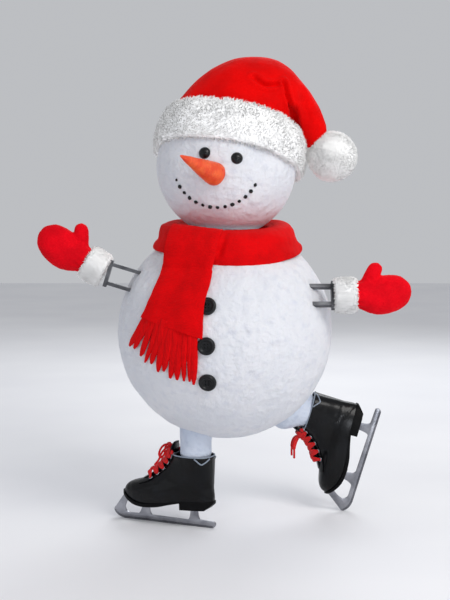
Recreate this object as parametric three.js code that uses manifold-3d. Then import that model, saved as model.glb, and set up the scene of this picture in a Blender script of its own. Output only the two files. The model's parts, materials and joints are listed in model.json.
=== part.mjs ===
// A skating snowman, 0.93 m tall: packed snow balls and leg stumps, dressed in a hat, scarf and mittens,
// standing on a pair of ice skates. Millimetres, +Z up, the face looks along -Y.

import * as THREE from 'three';
import { LoftGeometry } from 'three/addons/geometries/LoftGeometry.js';
import { mergeVertices } from 'three/addons/utils/BufferGeometryUtils.js';
import Module from 'manifold-3d';

const wasm = await Module();
wasm.setup();

// ---------------------------------------------------------------- driving dimensions

const CLEARANCE = 0.3; // gap between pieces that touch
const ORIGIN_SHIFT = new THREE.Vector3(5, 5, 0); // brings the bounding box's bottom centre to the origin

const BODY = { radius: 214, centre: new THREE.Vector3(0, 0, 388) };
const HEAD = { radius: 138, centre: new THREE.Vector3(3, 0, 716) };
const NECK_PLANE = 593; // height of the flat where the two balls are pressed together

const LEG_RADIUS = 31.5;
const STANDING_LEG = { x: -58, y: -43, foot: 100, top: 230 };

const HAT_TILT = { right: 10, back: 15.5 }; // degrees from upright
const BAND = { low: 10, high: 100, bulge: 154, lining: 124.5 };
const POMPOM = { radius: 51, centre: new THREE.Vector3(213, -2, 736) };

const EYE = { radius: 11.5, sink: 2, azimuths: [-17.8, 8.1], elevations: [9.3, 5.1] };
const NOSE = { radius: 22, length: 96, azimuth: -8.7, elevation: -7.7, aim: new THREE.Vector3(-64, -63, 33) };
const SMILE = {
  pebbles: 14,
  radius: 4.4,
  azimuth: -9.6,
  elevation: 3,
  spread: 38.3,
  halfSpan: 63.3,
  roll: -3.7,
};
const BUTTON = { radius: 16.5, thickness: 9, azimuth: -9.2, elevations: [18.2, -1.4, -20.2] };

const SCARF_THICKNESS = 13;

// How many flats the round pieces have.
const SIDES = {
  leg: 18,
  trailingLeg: 16,
  carrot: 14,
  button: 12,
  band: 26,
  cap: 20,
  wrap: 26,
  cuff: 16,
  boot: 20,
  hand: 14,
};

const MITTEN = { length: 106, halfHeight: 37, halfThickness: 21, wristRadius: 24 };
const CUFF = { length: 40, outerRadius: 36, innerRadius: 25 };
const BRACKET = {
  barWidth: 12,
  barThickness: 7,
  baseWidth: 20,
  height: 54,
  prongSpacing: 38,
  prongLength: 84,
};
const LEFT_ARM = { base: new THREE.Vector3(-232, -50, 508), bracketLift: 17, mittenLift: 30, twist: 0 };
const RIGHT_ARM = { base: new THREE.Vector3(211, -99, 467), bracketLift: 0, mittenLift: 2, twist: -30 };

const SKATE = {
  bladeLength: 231,
  bladeThickness: 4.5,
  runnerHeight: 12.5,
  soleWidth: 76,
  collarHeight: 142,
  laceRadius: 2.4,
  laceRows: 6,
  tongue: { front: 2, thickness: 6, width: 38 },
};
const STANDING_SKATE = { heel: new THREE.Vector3(-16, -62, 0), yaw: 156 };
const TRAILING_SKATE = { heel: new THREE.Vector3(328, 77, 210), yaw: 180, pitch: 73 };

const COLOURS = {
  snow: [0xe4e6ec, 0.85, 0],
  legSnow: [0xc3cedc, 0.8, 0],
  redCloth: [0xd00509, 0.9, 0],
  redFelt: [0xe00418, 0.9, 0],
  fur: [0xf3f1ee, 1, 0],
  carrot: [0xe65c28, 0.6, 0],
  coal: [0x14151a, 0.35, 0],
  steel: [0x8a8b92, 0.35, 1],
  darkSteel: [0x5b5b5c, 0.5, 1],
  leather: [0x0b0c10, 0.3, 0],
  rubber: [0x15151a, 0.6, 0],
  lining: [0xb9c2cc, 0.9, 0],
  lace: [0xc80a0e, 0.8, 0],
};

// ---------------------------------------------------------------- helpers

const radians = THREE.MathUtils.degToRad;
const lerp = THREE.MathUtils.lerp;

function vec(x, y, z) {
  return new THREE.Vector3(x, y, z);
}

function copyOf(geometry) {
  return new THREE.BufferGeometry().copy(geometry);
}

// A closed geometry as a solid for joining and cutting.
function toSolid(geometry) {
  const bare = copyOf(geometry);
  bare.deleteAttribute('normal');
  bare.deleteAttribute('uv');
  const merged = mergeVertices(bare, 0.001);
  const corners = merged.index.array;
  const triangles = [];
  for (let i = 0; i < corners.length; i += 3) {
    const [a, b, c] = [corners[i], corners[i + 1], corners[i + 2]];
    if (a !== b && b !== c && c !== a) triangles.push(a, b, c);
  }
  const mesh = new wasm.Mesh({
    numProp: 3,
    vertProperties: new Float32Array(merged.attributes.position.array),
    triVerts: new Uint32Array(triangles),
  });
  return new wasm.Manifold(mesh);
}

function fromSolid(solid) {
  const mesh = solid.getMesh();
  const geometry = new THREE.BufferGeometry();
  geometry.setAttribute('position', new THREE.BufferAttribute(mesh.vertProperties, 3));
  geometry.setIndex(new THREE.BufferAttribute(mesh.triVerts, 1));
  geometry.computeVertexNormals();
  return geometry;
}

function join(...geometries) {
  let solid = toSolid(geometries[0]);
  for (const geometry of geometries.slice(1)) solid = solid.add(toSolid(geometry));
  return fromSolid(solid);
}

// A geometry scaled about its middle so that every side stands out by the given distance.
function grown(geometry, distance) {
  const copy = copyOf(geometry);
  copy.computeBoundingBox();
  const middle = copy.boundingBox.getCenter(vec(0, 0, 0));
  const size = copy.boundingBox.getSize(vec(0, 0, 0));
  copy.translate(-middle.x, -middle.y, -middle.z);
  copy.scale(1 + (2 * distance) / size.x, 1 + (2 * distance) / size.y, 1 + (2 * distance) / size.z);
  return copy.translate(middle.x, middle.y, middle.z);
}

// Cuts a geometry that lies in another placed mesh's frame out of a placed mesh.
function cutShape(mesh, geometry, holder) {
  figure.updateMatrixWorld(true);
  const toLocal = mesh.matrixWorld.clone().invert();
  const tool = copyOf(geometry).applyMatrix4(toLocal.multiply(holder.matrixWorld));
  mesh.geometry = fromSolid(toSolid(mesh.geometry).subtract(toSolid(tool)));
}

// Cuts other placed meshes, grown by the clearance, out of a placed mesh.
function cut(mesh, cutters) {
  for (const cutter of cutters) cutShape(mesh, grown(cutter.geometry, CLEARANCE), cutter);
}

function piece(name, geometry, [color, roughness, metalness], parent) {
  const material = new THREE.MeshStandardMaterial({ color, roughness, metalness });
  const mesh = new THREE.Mesh(geometry, material);
  mesh.name = name;
  parent.add(mesh);
  return mesh;
}

// A closed ring of points: an ellipse in the plane of two unit vectors.
function ellipse(centre, u, v, halfU, halfV, count) {
  const points = [];
  for (let i = 0; i < count; i++) {
    const angle = (i / count) * Math.PI * 2;
    const point = centre.clone();
    point.addScaledVector(u, halfU * Math.cos(angle));
    point.addScaledVector(v, halfV * Math.sin(angle));
    points.push(point);
  }
  return points;
}

function middleOf(points) {
  const sum = points.reduce((total, point) => total.add(point), vec(0, 0, 0));
  return sum.divideScalar(points.length);
}

// A solid skinned over closed sections and closed at both ends. The faces look outwards where each section
// runs anticlockwise seen from the far end, so the sections that run the other way are turned round.
function loft(sections) {
  const start = middleOf(sections[0]);
  const turn = vec(0, 0, 0);
  sections[0].forEach((point, i) => {
    const next = sections[0][(i + 1) % sections[0].length];
    turn.add(vec(0, 0, 0).crossVectors(point.clone().sub(start), next.clone().sub(start)));
  });
  const facesOut = turn.dot(middleOf(sections[1]).sub(start)) > 0;
  const ordered = facesOut ? sections : sections.map((section) => [...section].reverse());
  return new LoftGeometry(ordered, { capStart: true, capEnd: true });
}

// The unit direction at an azimuth (to the viewer's right of the face) and an elevation.
function direction(azimuth, elevation) {
  const flat = Math.cos(radians(elevation));
  return vec(
    flat * Math.sin(radians(azimuth)),
    -flat * Math.cos(radians(azimuth)),
    Math.sin(radians(elevation)),
  );
}

// Places a mesh made along +Z so that its foot sits on a ball and its axis points the given way.
function standOnBall(mesh, ball, outward, sink, axis = outward) {
  mesh.position.copy(ball.centre).addScaledVector(outward, ball.radius - sink);
  mesh.quaternion.setFromUnitVectors(vec(0, 0, 1), axis.clone().normalize());
}

// A turned solid about +Z from a profile of [radius, height] pairs.
function turned(profile, segments) {
  const points = profile.map(([radius, height]) => new THREE.Vector2(radius, height));
  return new THREE.LatheGeometry(points, segments).rotateX(Math.PI / 2);
}

// ---------------------------------------------------------------- snow

// A snow ball with one side pressed flat against a horizontal plane.
function snowball(ball, detail, flatHeight) {
  const geometry = new THREE.IcosahedronGeometry(ball.radius, detail);
  const position = geometry.attributes.position;
  const limit = flatHeight - ball.centre.z;
  for (let i = 0; i < position.count; i++) {
    const z = position.getZ(i);
    position.setZ(i, limit > 0 ? Math.min(z, limit) : Math.max(z, limit));
  }
  return geometry;
}

function addSnow(parent) {
  const body = piece('body_snowball', snowball(BODY, 6, NECK_PLANE - CLEARANCE), COLOURS.snow, parent);
  body.position.copy(BODY.centre);
  const head = piece('head_snowball', snowball(HEAD, 4, NECK_PLANE), COLOURS.snow, parent);
  head.position.copy(HEAD.centre);
  return { body, head };
}

function addStandingLeg(parent) {
  const { foot, top } = STANDING_LEG;
  const profile = [[0, foot], [LEG_RADIUS - 5, foot], [LEG_RADIUS, foot + 6], [LEG_RADIUS, top], [0, top]];
  const leg = piece('standing_leg', turned(profile, SIDES.leg), COLOURS.legSnow, parent);
  leg.position.set(STANDING_LEG.x, STANDING_LEG.y, 0);
  return leg;
}

// The trailing leg in its boot's frame: straight inside the boot, then a rounded knee that sinks into
// the body.
function trailingLegGeometry(growth = 0) {
  const stations = [[105 - growth, 48, LEG_RADIUS], [144, 48, LEG_RADIUS], [158, 50, 36], [174, 54, 43],
    [192, 57, 45], [214, 55, 40], [240, 50, 29]];
  const sections = stations.map(([height, x, radius]) => {
    const wide = radius + growth;
    return ellipse(vec(x, 0, height), vec(1, 0, 0), vec(0, 1, 0), wide, wide, SIDES.trailingLeg);
  });
  return loft(sections);
}

// ---------------------------------------------------------------- face and buttons

function addFace(parent) {
  const eyes = ['left', 'right'].map((side, i) => {
    const bead = new THREE.IcosahedronGeometry(EYE.radius, 1).scale(1, 1, 0.8);
    const eye = piece(`eye_${side}`, bead, COLOURS.coal, parent);
    standOnBall(eye, HEAD, direction(EYE.azimuths[i], EYE.elevations[i]), EYE.sink);
    return eye;
  });

  const { radius, length } = NOSE;
  const carrot = turned(
    [[0, -8], [radius * 0.9, -6], [radius, 4], [radius * 0.78, length * 0.35], [radius * 0.42, length * 0.72],
      [radius * 0.16, length * 0.96], [0, length]],
    SIDES.carrot,
  );
  const nose = piece('nose_carrot', carrot, COLOURS.carrot, parent);
  standOnBall(nose, HEAD, direction(NOSE.azimuth, NOSE.elevation), 2, NOSE.aim);

  const smile = [];
  for (let i = 0; i < SMILE.pebbles; i++) {
    const share = i / (SMILE.pebbles - 1);
    const bearing = radians(lerp(-SMILE.halfSpan, SMILE.halfSpan, share) + SMILE.roll);
    const outward = vec(
      Math.sin(radians(SMILE.spread)) * Math.sin(bearing),
      -Math.cos(radians(SMILE.spread)),
      -Math.sin(radians(SMILE.spread)) * Math.cos(bearing),
    );
    outward.applyAxisAngle(vec(1, 0, 0), -radians(SMILE.elevation));
    outward.applyAxisAngle(vec(0, 0, 1), radians(SMILE.azimuth));
    const name = `mouth_pebble_${String(i + 1).padStart(2, '0')}`;
    const pebble = piece(name, new THREE.DodecahedronGeometry(SMILE.radius), COLOURS.coal, parent);
    standOnBall(pebble, HEAD, outward, 1);
    smile.push(pebble);
  }
  return [...eyes, nose, ...smile];
}

function addButtons(parent) {
  const { radius, thickness } = BUTTON;
  const profile = [[0, 0], [radius - 1, 0], [radius, thickness * 0.4], [radius * 0.86, thickness * 0.85],
    [radius * 0.5, thickness], [0, thickness]];
  return ['top', 'middle', 'bottom'].map((place, i) => {
    const button = piece(`button_${place}`, turned(profile, SIDES.button), COLOURS.coal, parent);
    standOnBall(button, BODY, direction(BUTTON.azimuth, BUTTON.elevations[i]), 2);
    return button;
  });
}

// ---------------------------------------------------------------- hat

function addHat(parent) {
  const hat = new THREE.Group();
  hat.position.copy(HEAD.centre);
  hat.rotation.set(-radians(HAT_TILT.back), radians(HAT_TILT.right), 0);
  parent.add(hat);

  const lining = HEAD.radius + 2;
  const onHead = (height) => Math.sqrt(lining ** 2 - height ** 2);
  const profile = [
    [onHead(BAND.low), BAND.low], [BAND.bulge - 6, BAND.low - 1], [BAND.bulge - 1, BAND.low + 15],
    [BAND.bulge, 45], [BAND.bulge - 4, 68], [BAND.bulge - 13, 88], [BAND.lining + 6, BAND.high],
    [BAND.lining, 93], [BAND.lining, 62], [onHead(56), 56], [onHead(34), 34], [onHead(BAND.low), BAND.low],
  ];
  const band = piece('hat_band', turned(profile, SIDES.band), COLOURS.fur, hat);
  const pompom = piece('hat_pompom', new THREE.IcosahedronGeometry(POMPOM.radius, 2), COLOURS.fur, parent);
  pompom.position.copy(POMPOM.centre);
  return { hat, band, pompom };
}

// The cap rises out of the band as a dome, leans over to one side and narrows down to the pompom.
// Each section spans from the fold (x, z) near the band's edge to the crown's outline (x, z).
function addCap(parent, hat) {
  figure.updateMatrixWorld(true);
  const up = vec(0, 0, 1).applyQuaternion(hat.quaternion);
  const right = vec(1, 0, 0).applyQuaternion(hat.quaternion);
  const back = vec(0, 1, 0).applyQuaternion(hat.quaternion);
  const rings = [[60, 121.5], [97, 122.5]];
  const sections = rings.map(([height, radius]) => {
    const centre = HEAD.centre.clone().addScaledVector(up, height);
    return ellipse(centre, right, back, radius, radius, SIDES.cap);
  });
  const leans = [
    { fold: [141, 794], crown: [-88, 853], depth: 114, y: 26 },
    { fold: [141, 797], crown: [-40, 901], depth: 103, y: 25 },
    { fold: [141, 799], crown: [22, 931], depth: 90, y: 22 },
    { fold: [142, 799], crown: [84, 931], depth: 74, y: 17 },
    { fold: [144, 798], crown: [127, 911], depth: 60, y: 12 },
    { fold: [149, 797], crown: [162, 872], depth: 45, y: 7 },
    { fold: [155, 795], crown: [188, 831], depth: 33, y: 3 },
    { fold: [161, 789], crown: [201, 795], depth: 24, y: 0 },
    { fold: [170, 774], crown: [200, 778], depth: 17, y: -2 },
  ];
  for (const { fold, crown, depth, y } of leans) {
    const inner = vec(fold[0], y, fold[1]);
    const outer = vec(crown[0], y, crown[1]);
    const u = inner.clone().sub(outer);
    const half = u.length() / 2;
    const centre = inner.clone().add(outer).multiplyScalar(0.5);
    sections.push(ellipse(centre, u.normalize(), vec(0, 1, 0), half, depth, SIDES.cap));
  }
  return piece('hat_cap', loft(sections), COLOURS.redCloth, parent);
}

// ---------------------------------------------------------------- scarf

// The wrap fills the groove between head and body; it sits lower and wider at the front.
function scarfWrap() {
  const atSide = [[98, 611], [114, 617], [126, 608], [133, 586], [142, 568], [149, 548], [138, 556],
    [118, 570], [85, 592]];
  const atFront = [[92, 588], [120, 592], [148, 584], [165, 568], [168, 547], [163, 528], [154.5, 540],
    [128, 563], [85, 592]];
  const sections = [];
  for (let i = 0; i <= SIDES.wrap; i++) {
    const angle = ((i % SIDES.wrap) / SIDES.wrap) * Math.PI * 2;
    const front = ((1 - Math.sin(angle)) / 2) ** 1.6;
    sections.push(atSide.map(([radius, z], k) => {
      const r = lerp(radius, atFront[k][0], front);
      return vec(r * Math.cos(angle), r * Math.sin(angle), lerp(z, atFront[k][1], front));
    }));
  }
  const geometry = new LoftGeometry(sections);
  if (toSolid(geometry).volume() > 0) return geometry;
  return new LoftGeometry(sections.map((section) => [...section].reverse()));
}

// Distance in front of the body's axis of a cloth lying on the wrap and, below it, on the body ball.
function clothDepth(x, z, lift) {
  const onWrap = lerp(169, 146, THREE.MathUtils.smoothstep(z, 550, 600)) + lift;
  const level = BODY.radius + lift;
  const onBody = Math.sqrt(Math.max(level ** 2 - (z - BODY.centre.z) ** 2, 0));
  const radius = z > 530 ? Math.max(onWrap, onBody) : onBody;
  return -Math.sqrt(Math.max(radius ** 2 - x ** 2, 0));
}

// The tail crosses over the wrap and hangs down the body; each row runs from its left edge to its right edge.
function scarfTail() {
  const rows = [
    { left: [-100, 590], right: [-8, 580] },
    { left: [-112, 560], right: [-18, 553] },
    { left: [-116, 530], right: [-26, 518] },
    { left: [-131, 486], right: [-34, 472] },
    { left: [-151, 441], right: [-41, 424] },
    { left: [-168, 406], right: [-46, 370] },
    { left: [-183, 374], right: [-50, 316] },
  ];
  const columns = 4;
  const sections = rows.map(({ left, right }) => {
    const face = (lift) => {
      const points = [];
      for (let i = 0; i <= columns; i++) {
        const x = lerp(left[0], right[0], i / columns);
        const z = lerp(left[1], right[1], i / columns);
        points.push(vec(x, clothDepth(x, z, lift), z));
      }
      return points;
    };
    return [...face(1.5 + SCARF_THICKNESS), ...face(1.5).reverse()];
  });
  return loft(sections);
}

function addScarf(parent) {
  return piece('scarf', join(scarfWrap(), scarfTail()), COLOURS.redCloth, parent);
}

// ---------------------------------------------------------------- arms

// A U of flat bar: its base faces the mitten and its two prongs run into the snow.
function prongGeometry(side, growth = 0) {
  const { barWidth, barThickness, prongLength, prongSpacing } = BRACKET;
  const prong = new THREE.BoxGeometry(prongLength + growth, barWidth + 2 * growth, barThickness + 2 * growth);
  return prong.translate(-(prongLength + growth) / 2, 0, (side * prongSpacing) / 2);
}

function bracketGeometry() {
  const { baseWidth, barThickness, height } = BRACKET;
  const base = new THREE.BoxGeometry(barThickness, baseWidth, height).translate(-barThickness / 2, 0, 0);
  return join(base, prongGeometry(-1), prongGeometry(1));
}

// The hand runs along +X with the thumb towards +Z.
function mittenGeometry() {
  const { length, halfHeight, halfThickness, wristRadius } = MITTEN;
  const stations = [[-CUFF.length + 3, wristRadius - 2, wristRadius - 2, 0], [0, wristRadius, wristRadius, 0],
    [14, halfHeight - 7, halfThickness, -2], [40, halfHeight, halfThickness + 2, -3],
    [70, halfHeight - 1, halfThickness, 0], [92, halfHeight - 10, halfThickness - 4, 2],
    [length, halfHeight - 24, halfThickness - 14, 3]];
  const hand = stations.map(([x, tall, thick, rise]) => (
    ellipse(vec(x, 0, rise), vec(0, 0, 1), vec(0, 1, 0), tall, thick, SIDES.hand)));
  const thumb = new THREE.CapsuleGeometry(14, 26, 2, 8).rotateX(Math.PI / 2).rotateY(radians(14));
  return join(loft(hand), thumb.translate(34, 0, 33));
}

function cuffGeometry() {
  const { length, outerRadius, innerRadius } = CUFF;
  const profile = [[innerRadius, -length], [outerRadius - 3, -length], [outerRadius, -length * 0.75],
    [outerRadius, -length * 0.25], [outerRadius - 4, 0], [innerRadius, 0], [innerRadius, -length]];
  return turned(profile, SIDES.cuff).rotateY(Math.PI / 2);
}

// An arm: bracket and mitten share the base point, each with its own lift above level.
function addArm(parent, side, arm, flip) {
  const holder = new THREE.Group();
  holder.position.copy(arm.base);
  holder.rotation.z = flip ? Math.PI : 0;
  parent.add(holder);
  const bracket = piece(`${side}_arm_bracket`, bracketGeometry(), COLOURS.darkSteel, holder);
  bracket.rotation.set(radians(arm.twist), -radians(arm.bracketLift), 0, 'ZYX');
  const wrist = new THREE.Group();
  wrist.rotation.y = -radians(arm.mittenLift);
  holder.add(wrist);
  const spread = Math.tan(radians(arm.mittenLift - arm.bracketLift)) * (BRACKET.height / 2);
  const offset = CUFF.length + CLEARANCE + spread;
  const cuff = piece(`${side}_cuff`, cuffGeometry(), COLOURS.fur, wrist);
  cuff.position.x = offset;
  const mitten = piece(`${side}_mitten`, mittenGeometry(), COLOURS.redFelt, wrist);
  mitten.position.x = offset;
  return bracket;
}

// ---------------------------------------------------------------- skates

// Skate frame: +X from heel to toe along the blade, +Z up from the ice, the blade in the plane Y = 0.

// A boot's level outline: rounded at heel and toe, with its own half widths there.
function footprint(z, heelX, toeX, heelWidth, toeWidth, count) {
  const points = [];
  for (let i = 0; i < count; i++) {
    const angle = (i / count) * Math.PI * 2;
    const forward = Math.sign(Math.cos(angle)) * Math.abs(Math.cos(angle)) ** 0.85;
    const sideways = Math.sign(Math.sin(angle)) * Math.abs(Math.sin(angle)) ** 0.8;
    const share = (forward + 1) / 2;
    points.push(vec(lerp(heelX, toeX, share), sideways * lerp(heelWidth, toeWidth, share), z));
  }
  return points;
}

// The line where the upper meets the sole, from heel to toe.
function soleLine() {
  const points = [[5, 54], [68, 54], [113, 46], [150, 43], [178, 48], [204, 62]];
  return new THREE.SplineCurve(points.map(([x, z]) => new THREE.Vector2(x, z)));
}

function sideExtrusion(shape, thickness) {
  const options = { depth: thickness, bevelEnabled: false, curveSegments: 4 };
  const geometry = new THREE.ExtrudeGeometry(shape, options);
  return geometry.rotateX(Math.PI / 2).translate(0, thickness / 2, 0);
}

function soleGeometry() {
  const side = new THREE.Shape();
  side.moveTo(20, 37);
  side.lineTo(68, 37);
  side.lineTo(68, 50);
  side.splineThru([new THREE.Vector2(113, 39.5), new THREE.Vector2(150, 36), new THREE.Vector2(178, 41)]);
  side.lineTo(205, 57);
  const top = soleLine().getPoints(10).reverse();
  for (const point of top) side.lineTo(point.x, point.y);
  side.lineTo(5, 50);
  side.lineTo(12, 44);
  side.closePath();
  const plan = [20, 75].map((z) => footprint(z, 4, 206, 28, SKATE.soleWidth / 2 + 4, SIDES.boot));
  return fromSolid(toSolid(sideExtrusion(side, 110)).intersect(toSolid(loft(plan))));
}

function upperGeometry() {
  const levels = [
    [36, 14, 194, 26, 36], [45, 8, 201, 29, 38], [60, 6, 203, 29, 39], [72, 7, 199, 29, 38],
    [81, 8, 186, 29, 34], [89, 8, 158, 30, 28], [99, 8, 138, 31, 25], [112, 8, 118, 32, 26],
    [130, 8, 101, 34, 29], [SKATE.collarHeight, 8, 93, 36, 32],
  ];
  const sections = levels.map(([z, heelX, toeX, heelWidth, toeWidth]) => (
    footprint(z, heelX, toeX, heelWidth, toeWidth, SIDES.boot)));
  const below = new THREE.Shape();
  below.moveTo(-40, 0);
  below.lineTo(260, 0);
  below.lineTo(260, 62 + CLEARANCE);
  for (const point of soleLine().getPoints(10).reverse()) below.lineTo(point.x, point.y + CLEARANCE);
  below.lineTo(-40, 54 + CLEARANCE);
  below.closePath();
  return fromSolid(toSolid(loft(sections)).subtract(toSolid(sideExtrusion(below, 120))));
}

// A comb-shaped plate: the runner with a heel post, a ball post and a toe arm that reach the sole.
function bladeGeometry() {
  const { bladeLength, runnerHeight } = SKATE;
  const side = new THREE.Shape();
  side.moveTo(8, 0);
  side.lineTo(208, 0);
  side.quadraticCurveTo(225, 2, bladeLength, 14);
  side.quadraticCurveTo(bladeLength + 1, 19, bladeLength - 3, 22);
  side.lineTo(202, 58);
  side.lineTo(188, 51);
  side.quadraticCurveTo(203, 38, 206, 24);
  side.quadraticCurveTo(205, 13, 195, runnerHeight);
  side.lineTo(176, runnerHeight);
  side.quadraticCurveTo(168, 14, 164, 41);
  side.lineTo(150, 40);
  side.quadraticCurveTo(151, 14, 143, runnerHeight);
  side.lineTo(64, runnerHeight - 1);
  side.quadraticCurveTo(57, 13, 57, 41);
  side.lineTo(42, 41);
  side.quadraticCurveTo(42, 15, 35, 14);
  side.lineTo(5, 13);
  side.quadraticCurveTo(-2, 6, 8, 0);
  return sideExtrusion(side, SKATE.bladeThickness);
}

// The line of the boot's instep, from the toe end of the lacing to above the collar.
const INSTEP_POINTS = [[164, 86], [140, 100], [119, 114], [104, 131], [95, 147], [89, 164]];
const INSTEP = new THREE.SplineCurve(INSTEP_POINTS.map(([x, z]) => new THREE.Vector2(x, z)));

// A point a given distance out in front of the instep line.
function aboveInstep(share, distance) {
  const point = INSTEP.getPoint(share);
  const along = INSTEP.getTangent(share);
  return new THREE.Vector2(point.x + along.y * distance, point.y - along.x * distance);
}

function tongueGeometry(growth = 0) {
  const { front, thickness, width } = SKATE.tongue;
  const outline = [];
  for (let i = 0; i <= 6; i++) outline.push(aboveInstep(i / 6, front + growth));
  for (let i = 6; i >= 0; i--) outline.push(aboveInstep(i / 6, front - thickness - growth));
  return sideExtrusion(new THREE.Shape(outline), width + 2 * growth);
}

// Ladder lacing over the tongue from eyelet to eyelet.
function lacesGeometry() {
  const { laceRadius, laceRows } = SKATE;
  const route = [];
  for (let row = 0; row < laceRows; row++) {
    const share = lerp(0.16, 0.84, row / (laceRows - 1));
    const side = row % 2 === 0 ? 1 : -1;
    for (const [out, lift] of [[1, -13], [0.6, 7], [0, 9], [-0.6, 7], [-1, -13]]) {
      const point = aboveInstep(share, lift);
      route.push(vec(point.x, out * side * lerp(41, 37, share), point.y));
    }
  }
  const round = new THREE.Shape().absarc(0, 0, laceRadius, 0, Math.PI * 2);
  return new THREE.ExtrudeGeometry(round, {
    steps: laceRows * 5 + 2,
    extrudePath: new THREE.CatmullRomCurve3(route),
    curveSegments: 3,
    bevelEnabled: false,
  });
}

function addSkate(parent, side, group) {
  parent.add(group);
  const sole = piece(`${side}_sole`, soleGeometry(), COLOURS.rubber, group);
  const blade = piece(`${side}_blade`, bladeGeometry(), COLOURS.steel, group);
  const upper = piece(`${side}_boot`, upperGeometry(), COLOURS.leather, group);
  const tongue = piece(`${side}_tongue`, tongueGeometry(), COLOURS.lining, group);
  const laces = piece(`${side}_laces`, lacesGeometry(), COLOURS.lace, group);
  cut(blade, [sole]);
  return { group, sole, blade, upper, tongue, laces };
}

// ---------------------------------------------------------------- the snowman

const figure = new THREE.Group();
figure.position.copy(ORIGIN_SHIFT);

const { body, head } = addSnow(figure);
const face = addFace(figure);
const buttons = addButtons(figure);

for (const feature of face) cut(feature, [head]);
for (const button of buttons) cut(button, [body]);

const standingGroup = new THREE.Group();
standingGroup.position.copy(STANDING_SKATE.heel);
standingGroup.rotation.z = radians(STANDING_SKATE.yaw);
const standing = addSkate(figure, 'standing', standingGroup);

const trailingGroup = new THREE.Group();
trailingGroup.position.copy(TRAILING_SKATE.heel);
trailingGroup.rotation.set(0, radians(TRAILING_SKATE.pitch), radians(TRAILING_SKATE.yaw), 'ZYX');
const trailing = addSkate(figure, 'trailing', trailingGroup);
trailingGroup.position.z -= new THREE.Box3().setFromObject(trailing.blade, true).min.z;

const standingLeg = addStandingLeg(figure);
const trailingLeg = piece('trailing_leg', trailingLegGeometry(), COLOURS.legSnow, trailingGroup);
cut(standingLeg, [body]);
cut(trailingLeg, [body]);
cut(standing.tongue, [standingLeg]);
cutShape(trailing.tongue, trailingLegGeometry(CLEARANCE), trailingLeg);
cut(standing.upper, [standingLeg]);
cutShape(trailing.upper, trailingLegGeometry(CLEARANCE), trailingLeg);
for (const { upper, tongue } of [standing, trailing]) {
  cutShape(upper, grown(tongueGeometry(CLEARANCE), CLEARANCE), tongue);
}

const { hat, band, pompom } = addHat(figure);
const cap = addCap(figure, hat);
cut(cap, [head, band, pompom]);

const scarf = addScarf(figure);
cut(scarf, [body, head, buttons[0], buttons[1]]);

const leftBracket = addArm(figure, 'left', LEFT_ARM, true);
const rightBracket = addArm(figure, 'right', RIGHT_ARM, false);
for (const bracket of [leftBracket, rightBracket]) {
  for (const side of [-1, 1]) cutShape(body, prongGeometry(side, CLEARANCE), bracket);
}

export default figure;
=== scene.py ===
"""Looks of a skating snowman. Lengths in the tables are millimetres; the scene is in metres, +Z up, the face
looks along -Y."""

import json
import math

import bmesh
import bpy
import numpy as np
from mathutils import Matrix, Vector

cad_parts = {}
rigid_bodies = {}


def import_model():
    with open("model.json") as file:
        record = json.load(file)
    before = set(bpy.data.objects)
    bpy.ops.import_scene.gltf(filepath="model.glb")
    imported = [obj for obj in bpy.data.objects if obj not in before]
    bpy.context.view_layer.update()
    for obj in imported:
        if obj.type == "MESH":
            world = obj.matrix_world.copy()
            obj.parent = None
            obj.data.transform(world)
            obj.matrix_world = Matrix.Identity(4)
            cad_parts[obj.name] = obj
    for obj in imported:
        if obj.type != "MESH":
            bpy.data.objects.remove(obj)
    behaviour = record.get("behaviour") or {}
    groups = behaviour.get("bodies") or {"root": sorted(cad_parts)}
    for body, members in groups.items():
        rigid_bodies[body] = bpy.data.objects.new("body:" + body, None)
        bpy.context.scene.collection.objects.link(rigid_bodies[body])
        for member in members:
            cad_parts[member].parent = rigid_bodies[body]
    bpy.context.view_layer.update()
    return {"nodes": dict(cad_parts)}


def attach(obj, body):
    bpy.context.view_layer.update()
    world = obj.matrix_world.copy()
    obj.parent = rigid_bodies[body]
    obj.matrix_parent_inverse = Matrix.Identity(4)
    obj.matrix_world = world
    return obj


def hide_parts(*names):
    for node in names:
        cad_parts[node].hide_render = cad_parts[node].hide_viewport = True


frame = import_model()

MM = 0.001
SHIFT = Vector((5, 5, 0))  # the figure's middle, from the origin under its bounding box

BODY_CENTRE, BODY_RADIUS = Vector((0, 0, 388)), 214
HEAD_CENTRE, HEAD_RADIUS = Vector((3, 0, 716)), 138
NECK_HEIGHT = 593
CAMERA_TILT = math.radians(90 - 4.76)
THREE_WAYS = (0, 2.0944, 4.1888)  # the bearings of a tuft's three edges
FIRST_EYELET, EYELET_PITCH = 0.2, 0.135  # shares of the instep line
LACE_DIAMETER = 0.0044
COLLAR_HEIGHT = 144.6


# ---------------------------------------------------------------- camera, light and floor


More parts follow.
